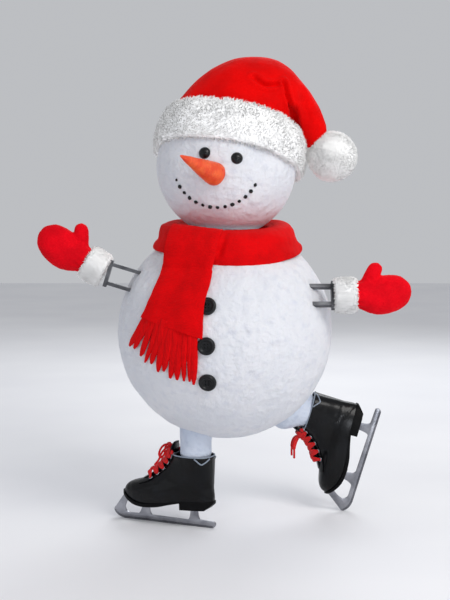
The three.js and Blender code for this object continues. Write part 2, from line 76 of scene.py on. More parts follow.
def set_up_studio():
    scene = bpy.context.scene
    scene.view_settings.view_transform = "Standard"
    bpy.ops.object.camera_add(location=(0.005, -2.395, 0.65), rotation=(CAMERA_TILT, 0, 0))
    camera = bpy.context.object
    camera.data.lens = 72
    scene.camera = camera

    world = bpy.data.worlds.new("studio_air")
    scene.world = world
    world.use_nodes = True
    world.node_tree.nodes["Background"].inputs["Color"].default_value = (0.94, 0.96, 1.0, 1)
    world.node_tree.nodes["Background"].inputs["Strength"].default_value = 0.54

    lamps = [
        ("key", (1.7, -2.3, 2.5), 1.5, 60, (1.0, 0.985, 0.96)),
        ("fill", (-2.4, -2.0, 1.2), 1.8, 5, (0.86, 0.91, 1.0)),
        ("rim", (0.6, 2.4, 2.2), 1.6, 34, (0.95, 0.97, 1.0)),
        ("low", (1.0, -2.4, 0.75), 0.4, 6, (0.9, 0.94, 1.0)),
    ]
    for name, place, size, power, colour in lamps:
        aim = (Vector((0, 0, 0.45)) - Vector(place)).to_track_quat("-Z", "Y")
        bpy.ops.object.light_add(type="AREA", location=place, rotation=aim.to_euler())
        lamp = bpy.context.object
        lamp.name = name + "_softbox"
        lamp.data.size = size
        lamp.data.energy = power
        lamp.data.color = colour

    bpy.ops.mesh.primitive_plane_add(size=14, location=(0, 0, -0.0005))
    floor = bpy.context.object
    floor.name = "floor"
    return floor


# ---------------------------------------------------------------- modelling helpers


def spline(points, count, closed=False):
    """Points on a smooth line through the given ones, the same number in each stretch."""
    points = np.asarray(points, float)
    total = len(points)
    spots = np.linspace(0, total if closed else total - 1, count, endpoint=not closed)
    index = spots.astype(int) if closed else np.minimum(spots.astype(int), total - 2)
    share = (spots - index).reshape((-1,) + (1,) * (points.ndim - 1))

    def pick(step):
        where = index + step
        return points[where % total if closed else np.clip(where, 0, total - 1)]

    a, b, c, d = pick(-1), pick(0), pick(1), pick(2)
    return 0.5 * (
        2 * b + (c - a) * share + (2 * a - 5 * b + 4 * c - d) * share**2 + (3 * b - a - 3 * c + d) * share**3
    )


def unit(vectors):
    return vectors / np.linalg.norm(vectors, axis=-1, keepdims=True)


def smooth_step(low, high, value):
    share = np.clip((np.asarray(value, float) - low) / (high - low), 0, 1)
    return share * share * (3 - 2 * share)


def ellipse(centre, across, up, half_across, half_up, count):
    """A closed ring of points about a centre, in the plane of two unit vectors."""
    angles = np.linspace(0, 2 * math.pi, count, endpoint=False)[:, None]
    centre, across, up = (np.asarray(v, float) for v in (centre, across, up))
    return centre + np.cos(angles) * half_across * across + np.sin(angles) * half_up * up


def round_ring(centre, radius, count):
    """A level circle of points."""
    return ellipse(centre, (1, 0, 0), (0, 1, 0), radius, radius, count)


def carried_round(section, steps, swell):
    """Copies of a closed (distance, height) section carried once round an axis, as the height along the axis
    and the two ways across it."""
    rings = []
    for k in range(steps + 1):
        angle = 2 * math.pi * (k % steps) / steps
        reach = section[:, 0] * swell(angle)
        rings.append(np.stack([section[:, 1], reach * math.cos(angle), reach * math.sin(angle)], axis=1))
    return rings


def start_from(shape, **settings):
    """Adds a primitive, with nothing else selected."""
    bpy.ops.object.select_all(action="DESELECT")
    getattr(bpy.ops.mesh, f"primitive_{shape}_add")(**settings)
    return bpy.context.object


def activate(piece):
    bpy.ops.object.select_all(action="DESELECT")
    piece.select_set(True)
    bpy.context.view_layer.objects.active = piece


def settle(piece):
    """Puts a piece's own place, turn and scale into its mesh."""
    activate(piece)
    bpy.ops.object.transform_apply(location=True, rotation=True, scale=True)


def modify(piece, kind, **settings):
    """Adds a modifier and applies it."""
    activate(piece)
    modifier = piece.modifiers.new(kind.lower(), kind)
    for name, value in settings.items():
        setattr(modifier, name, value)
    bpy.ops.object.modifier_apply(modifier=modifier.name)


def soften_edges(piece, width, segments=2, **settings):
    modify(piece, "BEVEL", width=width, segments=segments, limit_method="ANGLE", **settings)


def face_outwards(piece, merge=None):
    """Turns every face outwards, after merging points nearer than the given distance."""
    activate(piece)
    bpy.ops.object.mode_set(mode="EDIT")
    bpy.ops.mesh.select_all(action="SELECT")
    if merge is not None:
        bpy.ops.mesh.remove_doubles(threshold=merge)
    bpy.ops.mesh.normals_make_consistent(inside=False)
    bpy.ops.object.mode_set(mode="OBJECT")


def lump(piece, size, height, kind="CLOUDS"):
    """Pushes the surface in and out along a seamless procedural texture; sizes in metres."""
    texture = bpy.data.textures.new(f"lumps_{size:g}", kind)
    texture.noise_scale = size
    modify(piece, "DISPLACE", texture=texture, strength=height, mid_level=0.5)


def points_of(piece, what="co"):
    values = np.empty(len(piece.data.vertices) * 3, np.float32)
    piece.data.vertices.foreach_get(what, values)
    return values.reshape(-1, 3).astype(float)


def move_points(piece, points):
    piece.data.vertices.foreach_set("co", np.asarray(points, np.float32).ravel())
    piece.data.update()


def skin(rings, ends="flat"):
    """A skin through closed rings of points: one circle, extruded from each ring to the next. The ends are
    flat faces, poles, open, or joined to each other."""
    count = len(rings[0])
    piece = start_from("circle", vertices=count, radius=1)
    bpy.ops.object.mode_set(mode="EDIT")
    mesh = bmesh.from_edit_mesh(piece.data)
    order = mesh.verts.layers.int.new("order")
    mesh.verts.ensure_lookup_table()
    for k, vert in enumerate(mesh.verts):
        vert[order] = k
        vert.co = rings[0][k]
    bpy.ops.mesh.select_all(action="SELECT")
    if ends in ("flat", "pole"):
        bpy.ops.mesh.edge_face_add()
        if ends == "pole":
            bpy.ops.mesh.poke()
        mesh = bmesh.from_edit_mesh(piece.data)
        order = mesh.verts.layers.int["order"]
        bpy.ops.mesh.select_all(action="DESELECT")
        for edge in mesh.edges:
            edge.select = edge.is_boundary
        mesh.select_flush(True)
        for face in mesh.faces:
            face.select = False
        for edge in mesh.edges:
            edge.select = edge.is_boundary
    for ring in rings[1:]:
        bpy.ops.mesh.extrude_edges_indiv()
        mesh = bmesh.from_edit_mesh(piece.data)
        order = mesh.verts.layers.int["order"]
        for vert in mesh.verts:
            if vert.select:
                vert.co = ring[vert[order]]
    if ends in ("flat", "pole"):
        bpy.ops.mesh.edge_face_add()
        if ends == "pole":
            bpy.ops.mesh.poke()
    bpy.ops.mesh.select_all(action="SELECT")
    if ends == "joined":
        bpy.ops.mesh.remove_doubles(threshold=1e-6)
    bpy.ops.mesh.normals_make_consistent(inside=False)
    bpy.ops.object.mode_set(mode="OBJECT")
    piece.data.attributes.remove(piece.data.attributes["order"])
    return piece


def strand(path, half_wide, half_thick, outward, count=8):
    """A flattened strand along a path. The half sizes run from its start to its end; outward gives, for each
    point, the way that its flat side faces."""
    path = np.asarray(path, float)
    along = unit(np.gradient(path, axis=0))
    side = unit(np.cross(along, outward))
    up = np.cross(side, along)
    spots = np.linspace(0, 1, len(path))
    wide = np.interp(spots, np.linspace(0, 1, len(half_wide)), half_wide)
    thick = np.interp(spots, np.linspace(0, 1, len(half_thick)), half_thick)
    rings = [ellipse(path[i], side[i], up[i], wide[i], thick[i], count) for i in range(len(path))]
    return skin(rings, "pole")


def cloth_panel(columns, rows, place):
    """A grid of cloth; place(across, down) gives the points for arrays of shares from 0 to 1."""
    panel = start_from("grid", x_subdivisions=columns, y_subdivisions=rows, size=1, calc_uvs=True)
    flat = points_of(panel) + 0.5
    move_points(panel, place(flat[:, 0], flat[:, 1]))
    return panel


def join(pieces):
    activate(pieces[0])
    for piece in pieces:
        piece.select_set(True)
    bpy.ops.object.join()
    return bpy.context.object


def copy_of(piece, matrix=None):
    twin = piece.copy()
    twin.data = piece.data.copy()
    bpy.context.scene.collection.objects.link(twin)
    if matrix is not None:
        twin.data.transform(matrix)
    return twin


def complete(piece, name, material, replaces=(), crease=None):
    """Names a piece, gives it its material and hands it over."""
    settle(piece)
    piece.name = name
    piece.data.name = name
    piece.data.materials.clear()
    piece.data.materials.append(material)
    if crease is None:
        bpy.ops.object.shade_smooth()
    else:
        bpy.ops.object.shade_smooth_by_angle(angle=math.radians(crease))
    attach(piece, "root")
    if replaces:
        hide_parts(*replaces)
    return piece


def in_figure(matrix):
    """A placing matrix given in millimetres from the figure's middle, as one that works on metres."""
    placed = matrix.copy()
    placed.translation = (matrix.translation + SHIFT) * MM
    return placed


def put(piece, matrix=None):
    """Takes a piece modelled in millimetres to its place in metres."""
    piece.data.transform(Matrix.Scale(MM, 4))
    piece.data.transform(in_figure(matrix if matrix is not None else Matrix.Identity(4)))
    return piece


# ---------------------------------------------------------------- materials


def tone(red, green, blue):
    """A display colour of 0 to 255 as a linear one."""
    values = [c / 255 for c in (red, green, blue)]
    return [c / 12.92 if c <= 0.04045 else ((c + 0.055) / 1.055) ** 2.4 for c in values] + [1]


def add_node(tree, kind, inputs=None, **settings):
    made = tree.nodes.new(kind)
    for name, value in settings.items():
        setattr(made, name, value)
    for name, value in (inputs or {}).items():
        socket = made.inputs[name]
        if isinstance(value, bpy.types.NodeSocket):
            tree.links.new(value, socket)
        else:
            socket.default_value = value
    return made


def new_group(name, inputs, outputs):
    """A node group of plain numbers, with the nodes that bring them in and take them out."""
    group = bpy.data.node_groups.new(name, "ShaderNodeTree")
    for label, default in inputs.items():
        socket = group.interface.new_socket(label, in_out="INPUT", socket_type="NodeSocketFloat")
        socket.default_value = default
    for label in outputs:
        group.interface.new_socket(label, in_out="OUTPUT", socket_type="NodeSocketFloat")
    return group, add_node(group, "NodeGroupInput"), add_node(group, "NodeGroupOutput")


def object_place(tree):
    return add_node(tree, "ShaderNodeTexCoord").outputs["Object"]


def make_patches():
    """Soft uneven patches over a surface."""
    group, start, end = new_group("Patches", {"Scale": 20, "Detail": 4, "From": 0.4, "To": 0.6}, ["Mask"])
    place = object_place(group)
    noise = add_node(
        group, "ShaderNodeTexNoise",
        {"Vector": place, "Scale": start.outputs["Scale"], "Detail": start.outputs["Detail"]},
    )
    spread = add_node(
        group, "ShaderNodeMapRange",
        {"Value": noise.outputs["Fac"], "From Min": start.outputs["From"], "From Max": start.outputs["To"]},
    )
    group.links.new(spread.outputs["Result"], end.inputs["Mask"])
    return group


def make_grain():
    """Coarse and fine grain together, as a height."""
    group, start, end = new_group("Grain", {"Scale": 200, "Fine share": 0.4}, ["Height"])
    place = object_place(group)
    coarse = add_node(
        group, "ShaderNodeTexNoise", {"Vector": place, "Scale": start.outputs["Scale"], "Detail": 3}
    )
    finer = add_node(group, "ShaderNodeMath", {0: start.outputs["Scale"], 1: 4}, operation="MULTIPLY")
    fine = add_node(group, "ShaderNodeTexNoise", {"Vector": place, "Scale": finer.outputs[0], "Detail": 2})
    blend = add_node(
        group, "ShaderNodeMix",
        {"Factor": start.outputs["Fine share"], 2: coarse.outputs["Fac"], 3: fine.outputs["Fac"]},
    )
    group.links.new(blend.outputs[0], end.inputs["Height"])
    return group


def make_fibres():
    """Short matted fibres that lie every way, as a height and a mask."""
    group, start, end = new_group("Fibres", {"Scale": 300, "Stretch": 6}, ["Height", "Mask"])
    place = object_place(group)
    layers = []
    for turn in ((0.3, 0.2, 0.5), (1.2, 0.7, 2.1), (0.4, 1.9, 1.1)):
        turned = add_node(group, "ShaderNodeVectorRotate", {"Vector": place, "Rotation": turn},
                          rotation_type="EULER_XYZ")
        shape = add_node(group, "ShaderNodeCombineXYZ", {"X": start.outputs["Stretch"], "Y": 1, "Z": 1})
        squeezed = add_node(group, "ShaderNodeVectorMath", {0: turned.outputs[0], 1: shape.outputs[0]},
                            operation="DIVIDE")
        noise = add_node(group, "ShaderNodeTexNoise",
                         {"Vector": squeezed.outputs[0], "Scale": start.outputs["Scale"], "Detail": 1})
        layers.append(noise.outputs["Fac"])
    first = add_node(group, "ShaderNodeMath", {0: layers[0], 1: layers[1]}, operation="MAXIMUM")
    both = add_node(group, "ShaderNodeMath", {0: first.outputs[0], 1: layers[2]}, operation="MAXIMUM")
    mask = add_node(group, "ShaderNodeMapRange",
                    {"Value": both.outputs[0], "From Min": 0.5, "From Max": 0.72})
    group.links.new(both.outputs[0], end.inputs["Height"])
    group.links.new(mask.outputs["Result"], end.inputs["Mask"])
    return group


def make_brushing():
    """Fine parallel marks of a brushed metal, with a few scratches."""
    group, start, end = new_group("Brushing", {"Scale": 900, "Scratches": 0.6}, ["Height", "Mask"])
    place = object_place(group)
    squeezed = add_node(group, "ShaderNodeVectorMath", {0: place, 1: (0.04, 0.5, 1)}, operation="MULTIPLY")
    marks = add_node(group, "ShaderNodeTexNoise",
                     {"Vector": squeezed.outputs[0], "Scale": start.outputs["Scale"], "Detail": 3})
    blotch = add_node(group, "ShaderNodeTexNoise", {"Vector": place, "Scale": 45, "Detail": 5})
    wear_and_shade = add_node(group, "ShaderNodeMapRange", {"Value": blotch.outputs["Fac"], "From Min": 0.42,
                                                  "From Max": 0.7, "To Max": start.outputs["Scratches"]})
    total = add_node(group, "ShaderNodeMath", {0: marks.outputs["Fac"], 1: wear_and_shade.outputs[0]},
                     operation="MULTIPLY")
    group.links.new(marks.outputs["Fac"], end.inputs["Height"])
    group.links.new(total.outputs[0], end.inputs["Mask"])
    return group


PATCHES, GRAIN, FIBRES, BRUSHING = make_patches(), make_grain(), make_fibres(), make_brushing()


class Finish:
    """A material under way: a Principled shader with helpers that feed it."""

    def __init__(self, name, **shader):
        self.material = bpy.data.materials.new(name)
        self.material.use_nodes = True
        self.tree = self.material.node_tree
        self.shader = self.tree.nodes["Principled BSDF"]
        for label, value in shader.items():
            self.shader.inputs[label.replace("_", " ")].default_value = value

    def add(self, kind, inputs=None, **settings):
        return add_node(self.tree, kind, inputs, **settings)

    def effect(self, group, output, **inputs):
        """One of the shared effects, with its own values."""
        made = self.add("ShaderNodeGroup", node_tree=group)
        for label, value in inputs.items():
            made.inputs[label.replace("_", " ")].default_value = value
        return made.outputs[output]

    def patches(self, scale, detail, start, end):
        return self.effect(PATCHES, "Mask", Scale=scale, Detail=detail, From=start, To=end)

    def grain(self, scale, fine_share):
        return self.effect(GRAIN, "Height", Scale=scale, Fine_share=fine_share)

    def mix(self, mask, first, second):
        """The first colour where the mask is 0, the second where it is 1."""
        made = self.add("ShaderNodeMix", data_type="RGBA")
        self.tree.links.new(mask, made.inputs["Factor"])
        for socket, value in ((made.inputs[6], first), (made.inputs[7], second)):
            if isinstance(value, bpy.types.NodeSocket):
                self.tree.links.new(value, socket)
            else:
                socket.default_value = value
        return made.outputs[2]

    def between(self, mask, low, high):
        made = self.add("ShaderNodeMapRange", {"Value": mask, "To Min": low, "To Max": high})
        return made.outputs["Result"]

    def colour(self, socket):
        self.tree.links.new(socket, self.shader.inputs["Base Color"])

    def roughness(self, socket):
        self.tree.links.new(socket, self.shader.inputs["Roughness"])

    def bump(self, *layers):
        """Bump from (height, distance in metres) layers, one over the other."""
        normal = None
        for height, distance in layers:
            made = self.add("ShaderNodeBump", {"Height": height, "Distance": distance, "Strength": 1.0})
            if normal is not None:
                self.tree.links.new(normal, made.inputs["Normal"])
            normal = made.outputs["Normal"]
        self.tree.links.new(normal, self.shader.inputs["Normal"])


def snow_material(name, bright, shade, tint):
    made = Finish(name, Subsurface_Weight=0.15, Subsurface_Scale=0.01, Subsurface_Radius=(0.7, 0.85, 1.0),
                  Specular_IOR_Level=0.25)
    large = made.patches(9, 6, 0.42, 0.62)
    small = made.patches(55, 8, 0.52, 0.7)
    ground = made.mix(large, bright, shade)
    made.colour(made.mix(small, ground, tint))
    made.roughness(made.between(small, 0.9, 0.6))
    made.bump((made.patches(70, 6, 0.3, 0.7), 0.0024),
              (made.grain(420, 0.5), 0.0012))
    return made.material


def fur_material():
    # painted light: the fur glows faintly in its own colour, which lifts its shaded parts
    made = Finish("white_fur", Roughness=1.0, Specular_IOR_Level=0.05, Emission_Strength=0.16)
    reach = made.add("ShaderNodeAttribute", attribute_name="reach").outputs["Fac"]
    clumps = made.patches(45, 3, 0.4, 0.65)
    strands = made.patches(900, 2, 0.35, 0.65)
    tips = made.mix(clumps, tone(254, 254, 253), tone(251, 251, 250))
    # painted shade: the tufts' roots, and the base surface between them, are a darker white than the tips
    roots = made.mix(strands, tone(243, 243, 244), tone(249, 249, 249))
    fur = made.mix(reach, roots, tips)
    made.colour(fur)
    # the fur colour also feeds the painted glow
    made.tree.links.new(fur, made.shader.inputs["Emission Color"])
    made.bump((made.grain(900, 0.3), 0.0004))
    return made.material


RED_SHEEN = (1, 0.2, 0.18, 1)


def plush_material(name, colour, deep, fibre_scale, height):
    made = Finish(name, Sheen_Weight=0.08, Sheen_Roughness=0.4, Sheen_Tint=RED_SHEEN, Specular_IOR_Level=0.08)
    patches = made.patches(26, 5, 0.38, 0.66)
    fibres = made.effect(FIBRES, "Mask", Scale=fibre_scale, Stretch=6)
    ground = made.mix(patches, colour, deep)
    made.colour(made.mix(made.between(fibres, 0.0, 0.35), ground, deep))
    made.roughness(made.between(fibres, 0.75, 0.95))
    made.bump((made.effect(FIBRES, "Height", Scale=fibre_scale, Stretch=6), height),
              (made.grain(700, 0.5), height * 0.5))
    return made.material


def knit_material():
    """Brushed fine knit: ribs run along the cloth's own length, with stitches across them."""
    made = Finish("scarf_knit", Sheen_Weight=0.07, Sheen_Roughness=0.45, Sheen_Tint=RED_SHEEN,
                  Specular_IOR_Level=0.08)
    uv = made.add("ShaderNodeUVMap").outputs["UV"]
    ribs = made.add("ShaderNodeTexWave", {"Vector": uv, "Scale": 16, "Distortion": 0.6, "Detail": 2,
                                          "Detail Scale": 3}, bands_direction="X")
    stitches = made.add("ShaderNodeTexWave", {"Vector": uv, "Scale": 22, "Distortion": 1.2, "Detail": 2,
                                              "Detail Scale": 4}, bands_direction="Y")
    knit = made.add("ShaderNodeMath", {0: ribs.outputs["Fac"], 1: stitches.outputs["Fac"]},
                    operation="MULTIPLY").outputs[0]
    fibres = made.effect(FIBRES, "Mask", Scale=420, Stretch=7)
    patches = made.patches(30, 5, 0.4, 0.65)
    ground = made.mix(patches, tone(224, 1, 7), tone(204, 1, 6))
    # painted shade: the knit's hollows, where the ribs and stitches are lowest, are a darker red
    wear_and_shade = made.mix(made.between(knit, 0.2, 0.0), ground, tone(170, 2, 5))
    made.colour(made.mix(made.between(fibres, 0.0, 0.4), wear_and_shade, tone(234, 6, 12)))
    made.roughness(made.between(fibres, 0.8, 0.95))
    made.bump((knit, 0.0003), (made.effect(FIBRES, "Height", Scale=420, Stretch=7), 0.0012))
    return made.material


def fringe_material():
    made = Finish("fringe_yarn", Sheen_Weight=0.07, Sheen_Roughness=0.45, Sheen_Tint=RED_SHEEN,
                  Specular_IOR_Level=0.08)
    place = object_place(made.tree)
    drawn = made.add("ShaderNodeVectorMath", {0: place, 1: (1, 1, 0.08)}, operation="MULTIPLY").outputs[0]
    yarns = made.add("ShaderNodeTexNoise", {"Vector": drawn, "Scale": 520, "Detail": 2}).outputs["Fac"]
    fibres = made.effect(FIBRES, "Mask", Scale=420, Stretch=7)
    ground = made.mix(made.between(yarns, -0.4, 1.4), tone(188, 1, 6), tone(232, 4, 10))
    made.colour(made.mix(made.between(fibres, 0.0, 0.3), ground, tone(232, 20, 24)))
    made.roughness(made.between(fibres, 0.8, 0.95))
    made.bump((yarns, 0.0016), (made.effect(FIBRES, "Height", Scale=420, Stretch=7), 0.0008))
    return made.material


def carrot_material():
    made = Finish("carrot_skin", Specular_IOR_Level=0.4, Subsurface_Weight=0.12, Subsurface_Scale=0.006,
                  Coat_Weight=0.08)
    reach = made.add("ShaderNodeAttribute", attribute_name="reach").outputs["Fac"]
    along = made.add("ShaderNodeCombineXYZ", {"X": reach}).outputs[0]
    rings = made.add("ShaderNodeTexNoise", {"Vector": along, "Scale": 30, "Detail": 3}).outputs["Fac"]
    patches = made.patches(60, 5, 0.42, 0.62)
    specks = made.patches(420, 2, 0.6, 0.72)
    ground = made.mix(patches, tone(240, 100, 40), tone(228, 72, 28))
    ringed = made.mix(made.between(rings, -0.5, 0.9), ground, tone(206, 58, 30))
    made.colour(made.mix(made.between(specks, 0.0, 0.4), ringed, tone(170, 44, 24)))
    made.roughness(made.between(patches, 0.42, 0.6))
    made.bump((rings, 0.0012), (made.grain(500, 0.5), 0.0004))
    return made.material


def coal_material(name, gloss):
    made = Finish(name, Coat_Weight=0.25, Coat_Roughness=0.15, Specular_IOR_Level=0.2)
    patches = made.patches(140, 5, 0.4, 0.66)
    made.colour(made.mix(patches, tone(5, 6, 9), tone(14, 16, 20)))
    made.roughness(made.between(patches, gloss, gloss + 0.22))
    made.bump((made.grain(600, 0.4), 0.0005))
    return made.material


def leather_material(name, colour, wear_and_shade, gloss, coat):
    made = Finish(name, Coat_Weight=coat, Coat_Roughness=0.16, Specular_IOR_Level=0.1)
    patches = made.patches(34, 6, 0.4, 0.7)
    scuffs = made.patches(160, 8, 0.62, 0.75)
    ground = made.mix(patches, colour, wear_and_shade)
    made.colour(made.mix(made.between(scuffs, 0.0, 0.3), ground, tone(22, 24, 29)))
    made.roughness(made.between(scuffs, gloss, gloss + 0.3))
    place = object_place(made.tree)
    cells = made.add("ShaderNodeTexVoronoi", {"Vector": place, "Scale": 620}).outputs["Distance"]
    made.bump((made.patches(60, 3, 0.2, 0.8), 0.0008), (cells, 0.00018))
    return made.material


def steel_material(name, colour, dark, rough):
    made = Finish(name, Metallic=1.0)
    marks = made.effect(BRUSHING, "Mask", Scale=900, Scratches=0.8)
    patches = made.patches(30, 6, 0.4, 0.66)
    ground = made.mix(patches, colour, dark)
    made.colour(made.mix(marks, ground, dark))
    made.roughness(made.between(marks, rough, rough + 0.25))
    made.bump((made.effect(BRUSHING, "Height", Scale=900, Scratches=0.8), 0.00015))
    return made.material


def cord_material(name, colour, deep, scale):
    """Braided cord: small slanted strands."""
    made = Finish(name, Specular_IOR_Level=0.25, Sheen_Weight=0.15)
    place = object_place(made.tree)
    braid = made.add("ShaderNodeTexVoronoi", {"Vector": place, "Scale": scale}).outputs["Distance"]
    made.colour(made.mix(made.between(braid, 0.0, 1.2), colour, deep))
    made.roughness(made.between(braid, 0.6, 0.85))
    made.bump((braid, 0.0007))
    return made.material


def floor_material():
    made = Finish("pale_floor", Roughness=0.9)
    patches = made.patches(2, 2, 0.3, 0.7)
    made.colour(made.mix(patches, tone(238, 238, 240), tone(232, 232, 235)))
    return made.material


SNOW = snow_material("packed_snow", tone(231, 232, 237), tone(225, 227, 233), tone(220, 222, 230))
# painted shade: the legs' snow is a darker, bluer copy of the body's snow, for the legs that stand in the
# shade under the body
SHADED_LEG_SNOW = snow_material("shaded_leg_snow", tone(216, 224, 238), tone(204, 213, 230), tone(196, 206, 224))
FUR = fur_material()
PLUSH = plush_material("hat_plush", tone(232, 0, 0), tone(208, 0, 0), 500, 0.0005)
FELT = plush_material("mitten_felt", tone(236, 3, 24), tone(206, 2, 20), 380, 0.0009)
KNIT, YARN = knit_material(), fringe_material()
CARROT = carrot_material()
COAL, HORN = coal_material("glossy_coal", 0.16), coal_material("button_horn", 0.34)
LEATHER = leather_material("black_leather", tone(2, 2, 3), tone(5, 7, 12), 0.32, 0.25)
SOLE = leather_material("black_sole", tone(5, 5, 6), tone(13, 13, 15), 0.5, 0.0)
BLADE = steel_material("blade_steel", tone(164, 165, 171), tone(122, 123, 130), 0.3)
EDGE = steel_material("ground_edge", tone(120, 121, 126), tone(84, 85, 90), 0.22)
DARK_STEEL = steel_material("bracket_steel", tone(128, 129, 133), tone(74, 75, 78), 0.36)
LINING = cord_material("tongue_lining", tone(168, 178, 192), tone(128, 138, 152), 700)
LACE = cord_material("lace_braid", tone(238, 12, 16), tone(186, 5, 10), 620)


# ---------------------------------------------------------------- fur


def add_fur(base, tufts, length, width, seed, lean, spread):
    """Covers a base mesh with soft tapered tufts that lean in clumps, and joins them to it."""
    random = np.random.default_rng(seed)
    base.data.calc_loop_triangles()
    corners = np.empty(len(base.data.loop_triangles) * 3, np.int32)
    base.data.loop_triangles.foreach_get("vertices", corners)
    corners = corners.reshape(-1, 3)
    points, outward = points_of(base), points_of(base, "normal")
    a, b, c = (points[corners[:, k]] for k in range(3))
    areas = np.linalg.norm(np.cross(b - a, c - a), axis=1)
    chosen = random.choice(len(corners), tufts, p=areas / areas.sum())
    first, second = random.random((2, tufts, 1))
    over = first + second > 1
    first, second = np.where(over, 1 - first, first), np.where(over, 1 - second, second)
    weights = np.stack([1 - first - second, first, second])
    roots = sum(weights[k] * points[corners[chosen, k]] for k in range(3))
    normal = unit(sum(weights[k] * outward[corners[chosen, k]] for k in range(3)))

    flow = np.zeros_like(roots)
    for _ in range(7):
        wave, phase = random.normal(size=(2, 3)), random.random() * 6.3
        rate = random.uniform(60, 260)
        flow += np.sin(roots @ unit(wave[0]) * rate + phase)[:, None] * unit(wave[1])
    leaning = unit(normal + flow * lean * 0.4 + random.normal(size=roots.shape) * spread)
    curling = unit(leaning + flow * lean * 0.5 + random.normal(size=roots.shape) * spread * 1.3)
    long = length * random.uniform(0.6, 1.25, (tufts, 1))
    wide = width * random.uniform(0.7, 1.3, (tufts, 1))
    side = unit(np.cross(leaning, random.normal(size=roots.shape)))
    other = np.cross(leaning, side)
    middle = roots + leaning * long * 0.55
    rows = []
    for centre, share in ((roots - normal * width, 1.0), (middle, 0.75)):
        for turn in THREE_WAYS:
            rows.append(centre + (side * math.cos(turn) + other * math.sin(turn)) * wide * share)
    rows.append(middle + curling * long * 0.45)
    spikes = np.stack(rows, axis=1).reshape(-1, 3)
    pattern = [(0, 1, 4, 3), (1, 2, 5, 4), (2, 0, 3, 5), (3, 4, 6), (4, 5, 6), (5, 3, 6)]
    faces = [tuple(7 * k + corner for corner in face) for k in range(tufts) for face in pattern]
    mesh = bpy.data.meshes.new("tufts")
    mesh.from_pydata(spikes.tolist(), [], faces)
    # reach runs from 0 at a tuft's root to 1 at its tip; the fur material paints shade at the roots by it,
    # and the base mesh, left at 0, takes the shaded root colour
    reach = mesh.attributes.new("reach", "FLOAT", "POINT")
    reach.data.foreach_set("value", np.tile([0, 0, 0, 0.6, 0.6, 0.6, 1.0], tufts).astype(np.float32))
    mesh.shade_smooth()
    soft = unit(normal + 0.3 * leaning)
    mesh.normals_split_custom_set_from_vertices(np.repeat(soft, 7, axis=0).tolist())
    cover = bpy.data.objects.new("tufts", mesh)
    bpy.context.scene.collection.objects.link(cover)
    base.data.attributes.new("reach", "FLOAT", "POINT")
    return join([base, cover])


# ---------------------------------------------------------------- snow


def pits_of_arms():
    """Where the arm brackets' prongs enter the body, in millimetres."""
    found = []
    for base, lift, twist, facing in (LEFT_ARM, RIGHT_ARM):
        turn = bracket_turn(lift, twist, facing)
        inward = turn @ Vector((-1, 0, 0))
        for side in (-19, 19):
            start = Vector(base) + turn @ Vector((0, 0, side)) - BODY_CENTRE
            reach = -start.dot(inward)
            step = reach - math.sqrt(max(BODY_RADIUS**2 - (start + inward * reach).length_squared, 0))
            found.append(start + inward * step + BODY_CENTRE)
    return found


def bracket_turn(lift, twist, facing):
    turn = Matrix.Rotation(math.radians(facing), 3, "Z")
    turn = turn @ Matrix.Rotation(-math.radians(lift), 3, "Y")
    return turn @ Matrix.Rotation(math.radians(twist), 3, "X")


def dent(piece, middle, radius, depth):
    """Presses a soft dimple into a surface about a point."""
    points, outward = points_of(piece), points_of(piece, "normal")
    away = np.linalg.norm(points - np.asarray(middle), axis=1)
    points -= outward * (depth * np.exp(-((away / radius) ** 2)))[:, None]
    move_points(piece, points)


def roll_snowball(centre, radius, keep_below):
    """A hand-rolled ball with lumps and crumbly grain, pressed flat at the neck."""
    ball = start_from("ico_sphere", subdivisions=7, radius=radius, location=centre)
    for size, height in ((60, 3.2), (22, 1.5), (7, 0.9)):
        lump(ball, size, height)
    settle(ball)
    bpy.ops.object.mode_set(mode="EDIT")
    bpy.ops.mesh.select_all(action="SELECT")
    bpy.ops.mesh.bisect(plane_co=(0, 0, NECK_HEIGHT), plane_no=(0, 0, 1), use_fill=True,
                        clear_outer=keep_below, clear_inner=not keep_below)
    bpy.ops.object.mode_set(mode="OBJECT")
    return ball


def make_snow():
    body = roll_snowball(BODY_CENTRE, BODY_RADIUS, True)
    for pit in pits_of_arms():
        dent(body, pit, 11, 3.2)
    complete(put(body), "body_ball", SNOW, ["body_snowball"])
    head = roll_snowball(HEAD_CENTRE, HEAD_RADIUS, False)
    complete(put(head), "head_ball", SNOW, ["head_snowball"])

    stations = [[104, 20], [106, 22.5], [132, 24], [142, 29], [150, 31.4], [168, 31.2], [188, 32], [214, 31]]
    leg = skin([round_ring((-58, -43, height), radius, 72) for height, radius in spline(stations, 60)])
    for size, height in ((30, 1.4), (9, 0.5)):
        lump(leg, size, height)
    complete(put(leg), "standing_stump", SHADED_LEG_SNOW, ["standing_leg"], 60)

    stations = [[106, 46, 20], [108, 46, 22.5], [134, 48, 24.5], [146, 50, 33], [158, 50, 37], [174, 54, 43],
                [192, 57, 45], [214, 55, 40], [240, 50, 29]]
    knee = skin([round_ring((x, 0, height), radius, 72) for height, x, radius in spline(stations, 60)])
    for size, height in ((30, 1.6), (9, 0.5)):
        lump(knee, size, height)
    complete(put(knee, TRAILING), "trailing_stump", SHADED_LEG_SNOW, ["trailing_leg"], 60)


# ---------------------------------------------------------------- face and buttons


def heading(azimuth, elevation):
    """The unit direction at an azimuth to the viewer's right of the face, and an elevation."""
    azimuth, elevation = math.radians(azimuth), math.radians(elevation)
    return Vector((
        math.cos(elevation) * math.sin(azimuth),
        -math.cos(elevation) * math.cos(azimuth),
        math.sin(elevation),
    ))


def stand_on(centre, radius, outward, sink, axis=None):
    """The matrix that stands a piece made along +Z on a ball."""
    turn = (axis or outward).normalized().to_track_quat("Z", "Y").to_matrix().to_4x4()
    return Matrix.Translation(centre + outward * (radius - sink)) @ turn


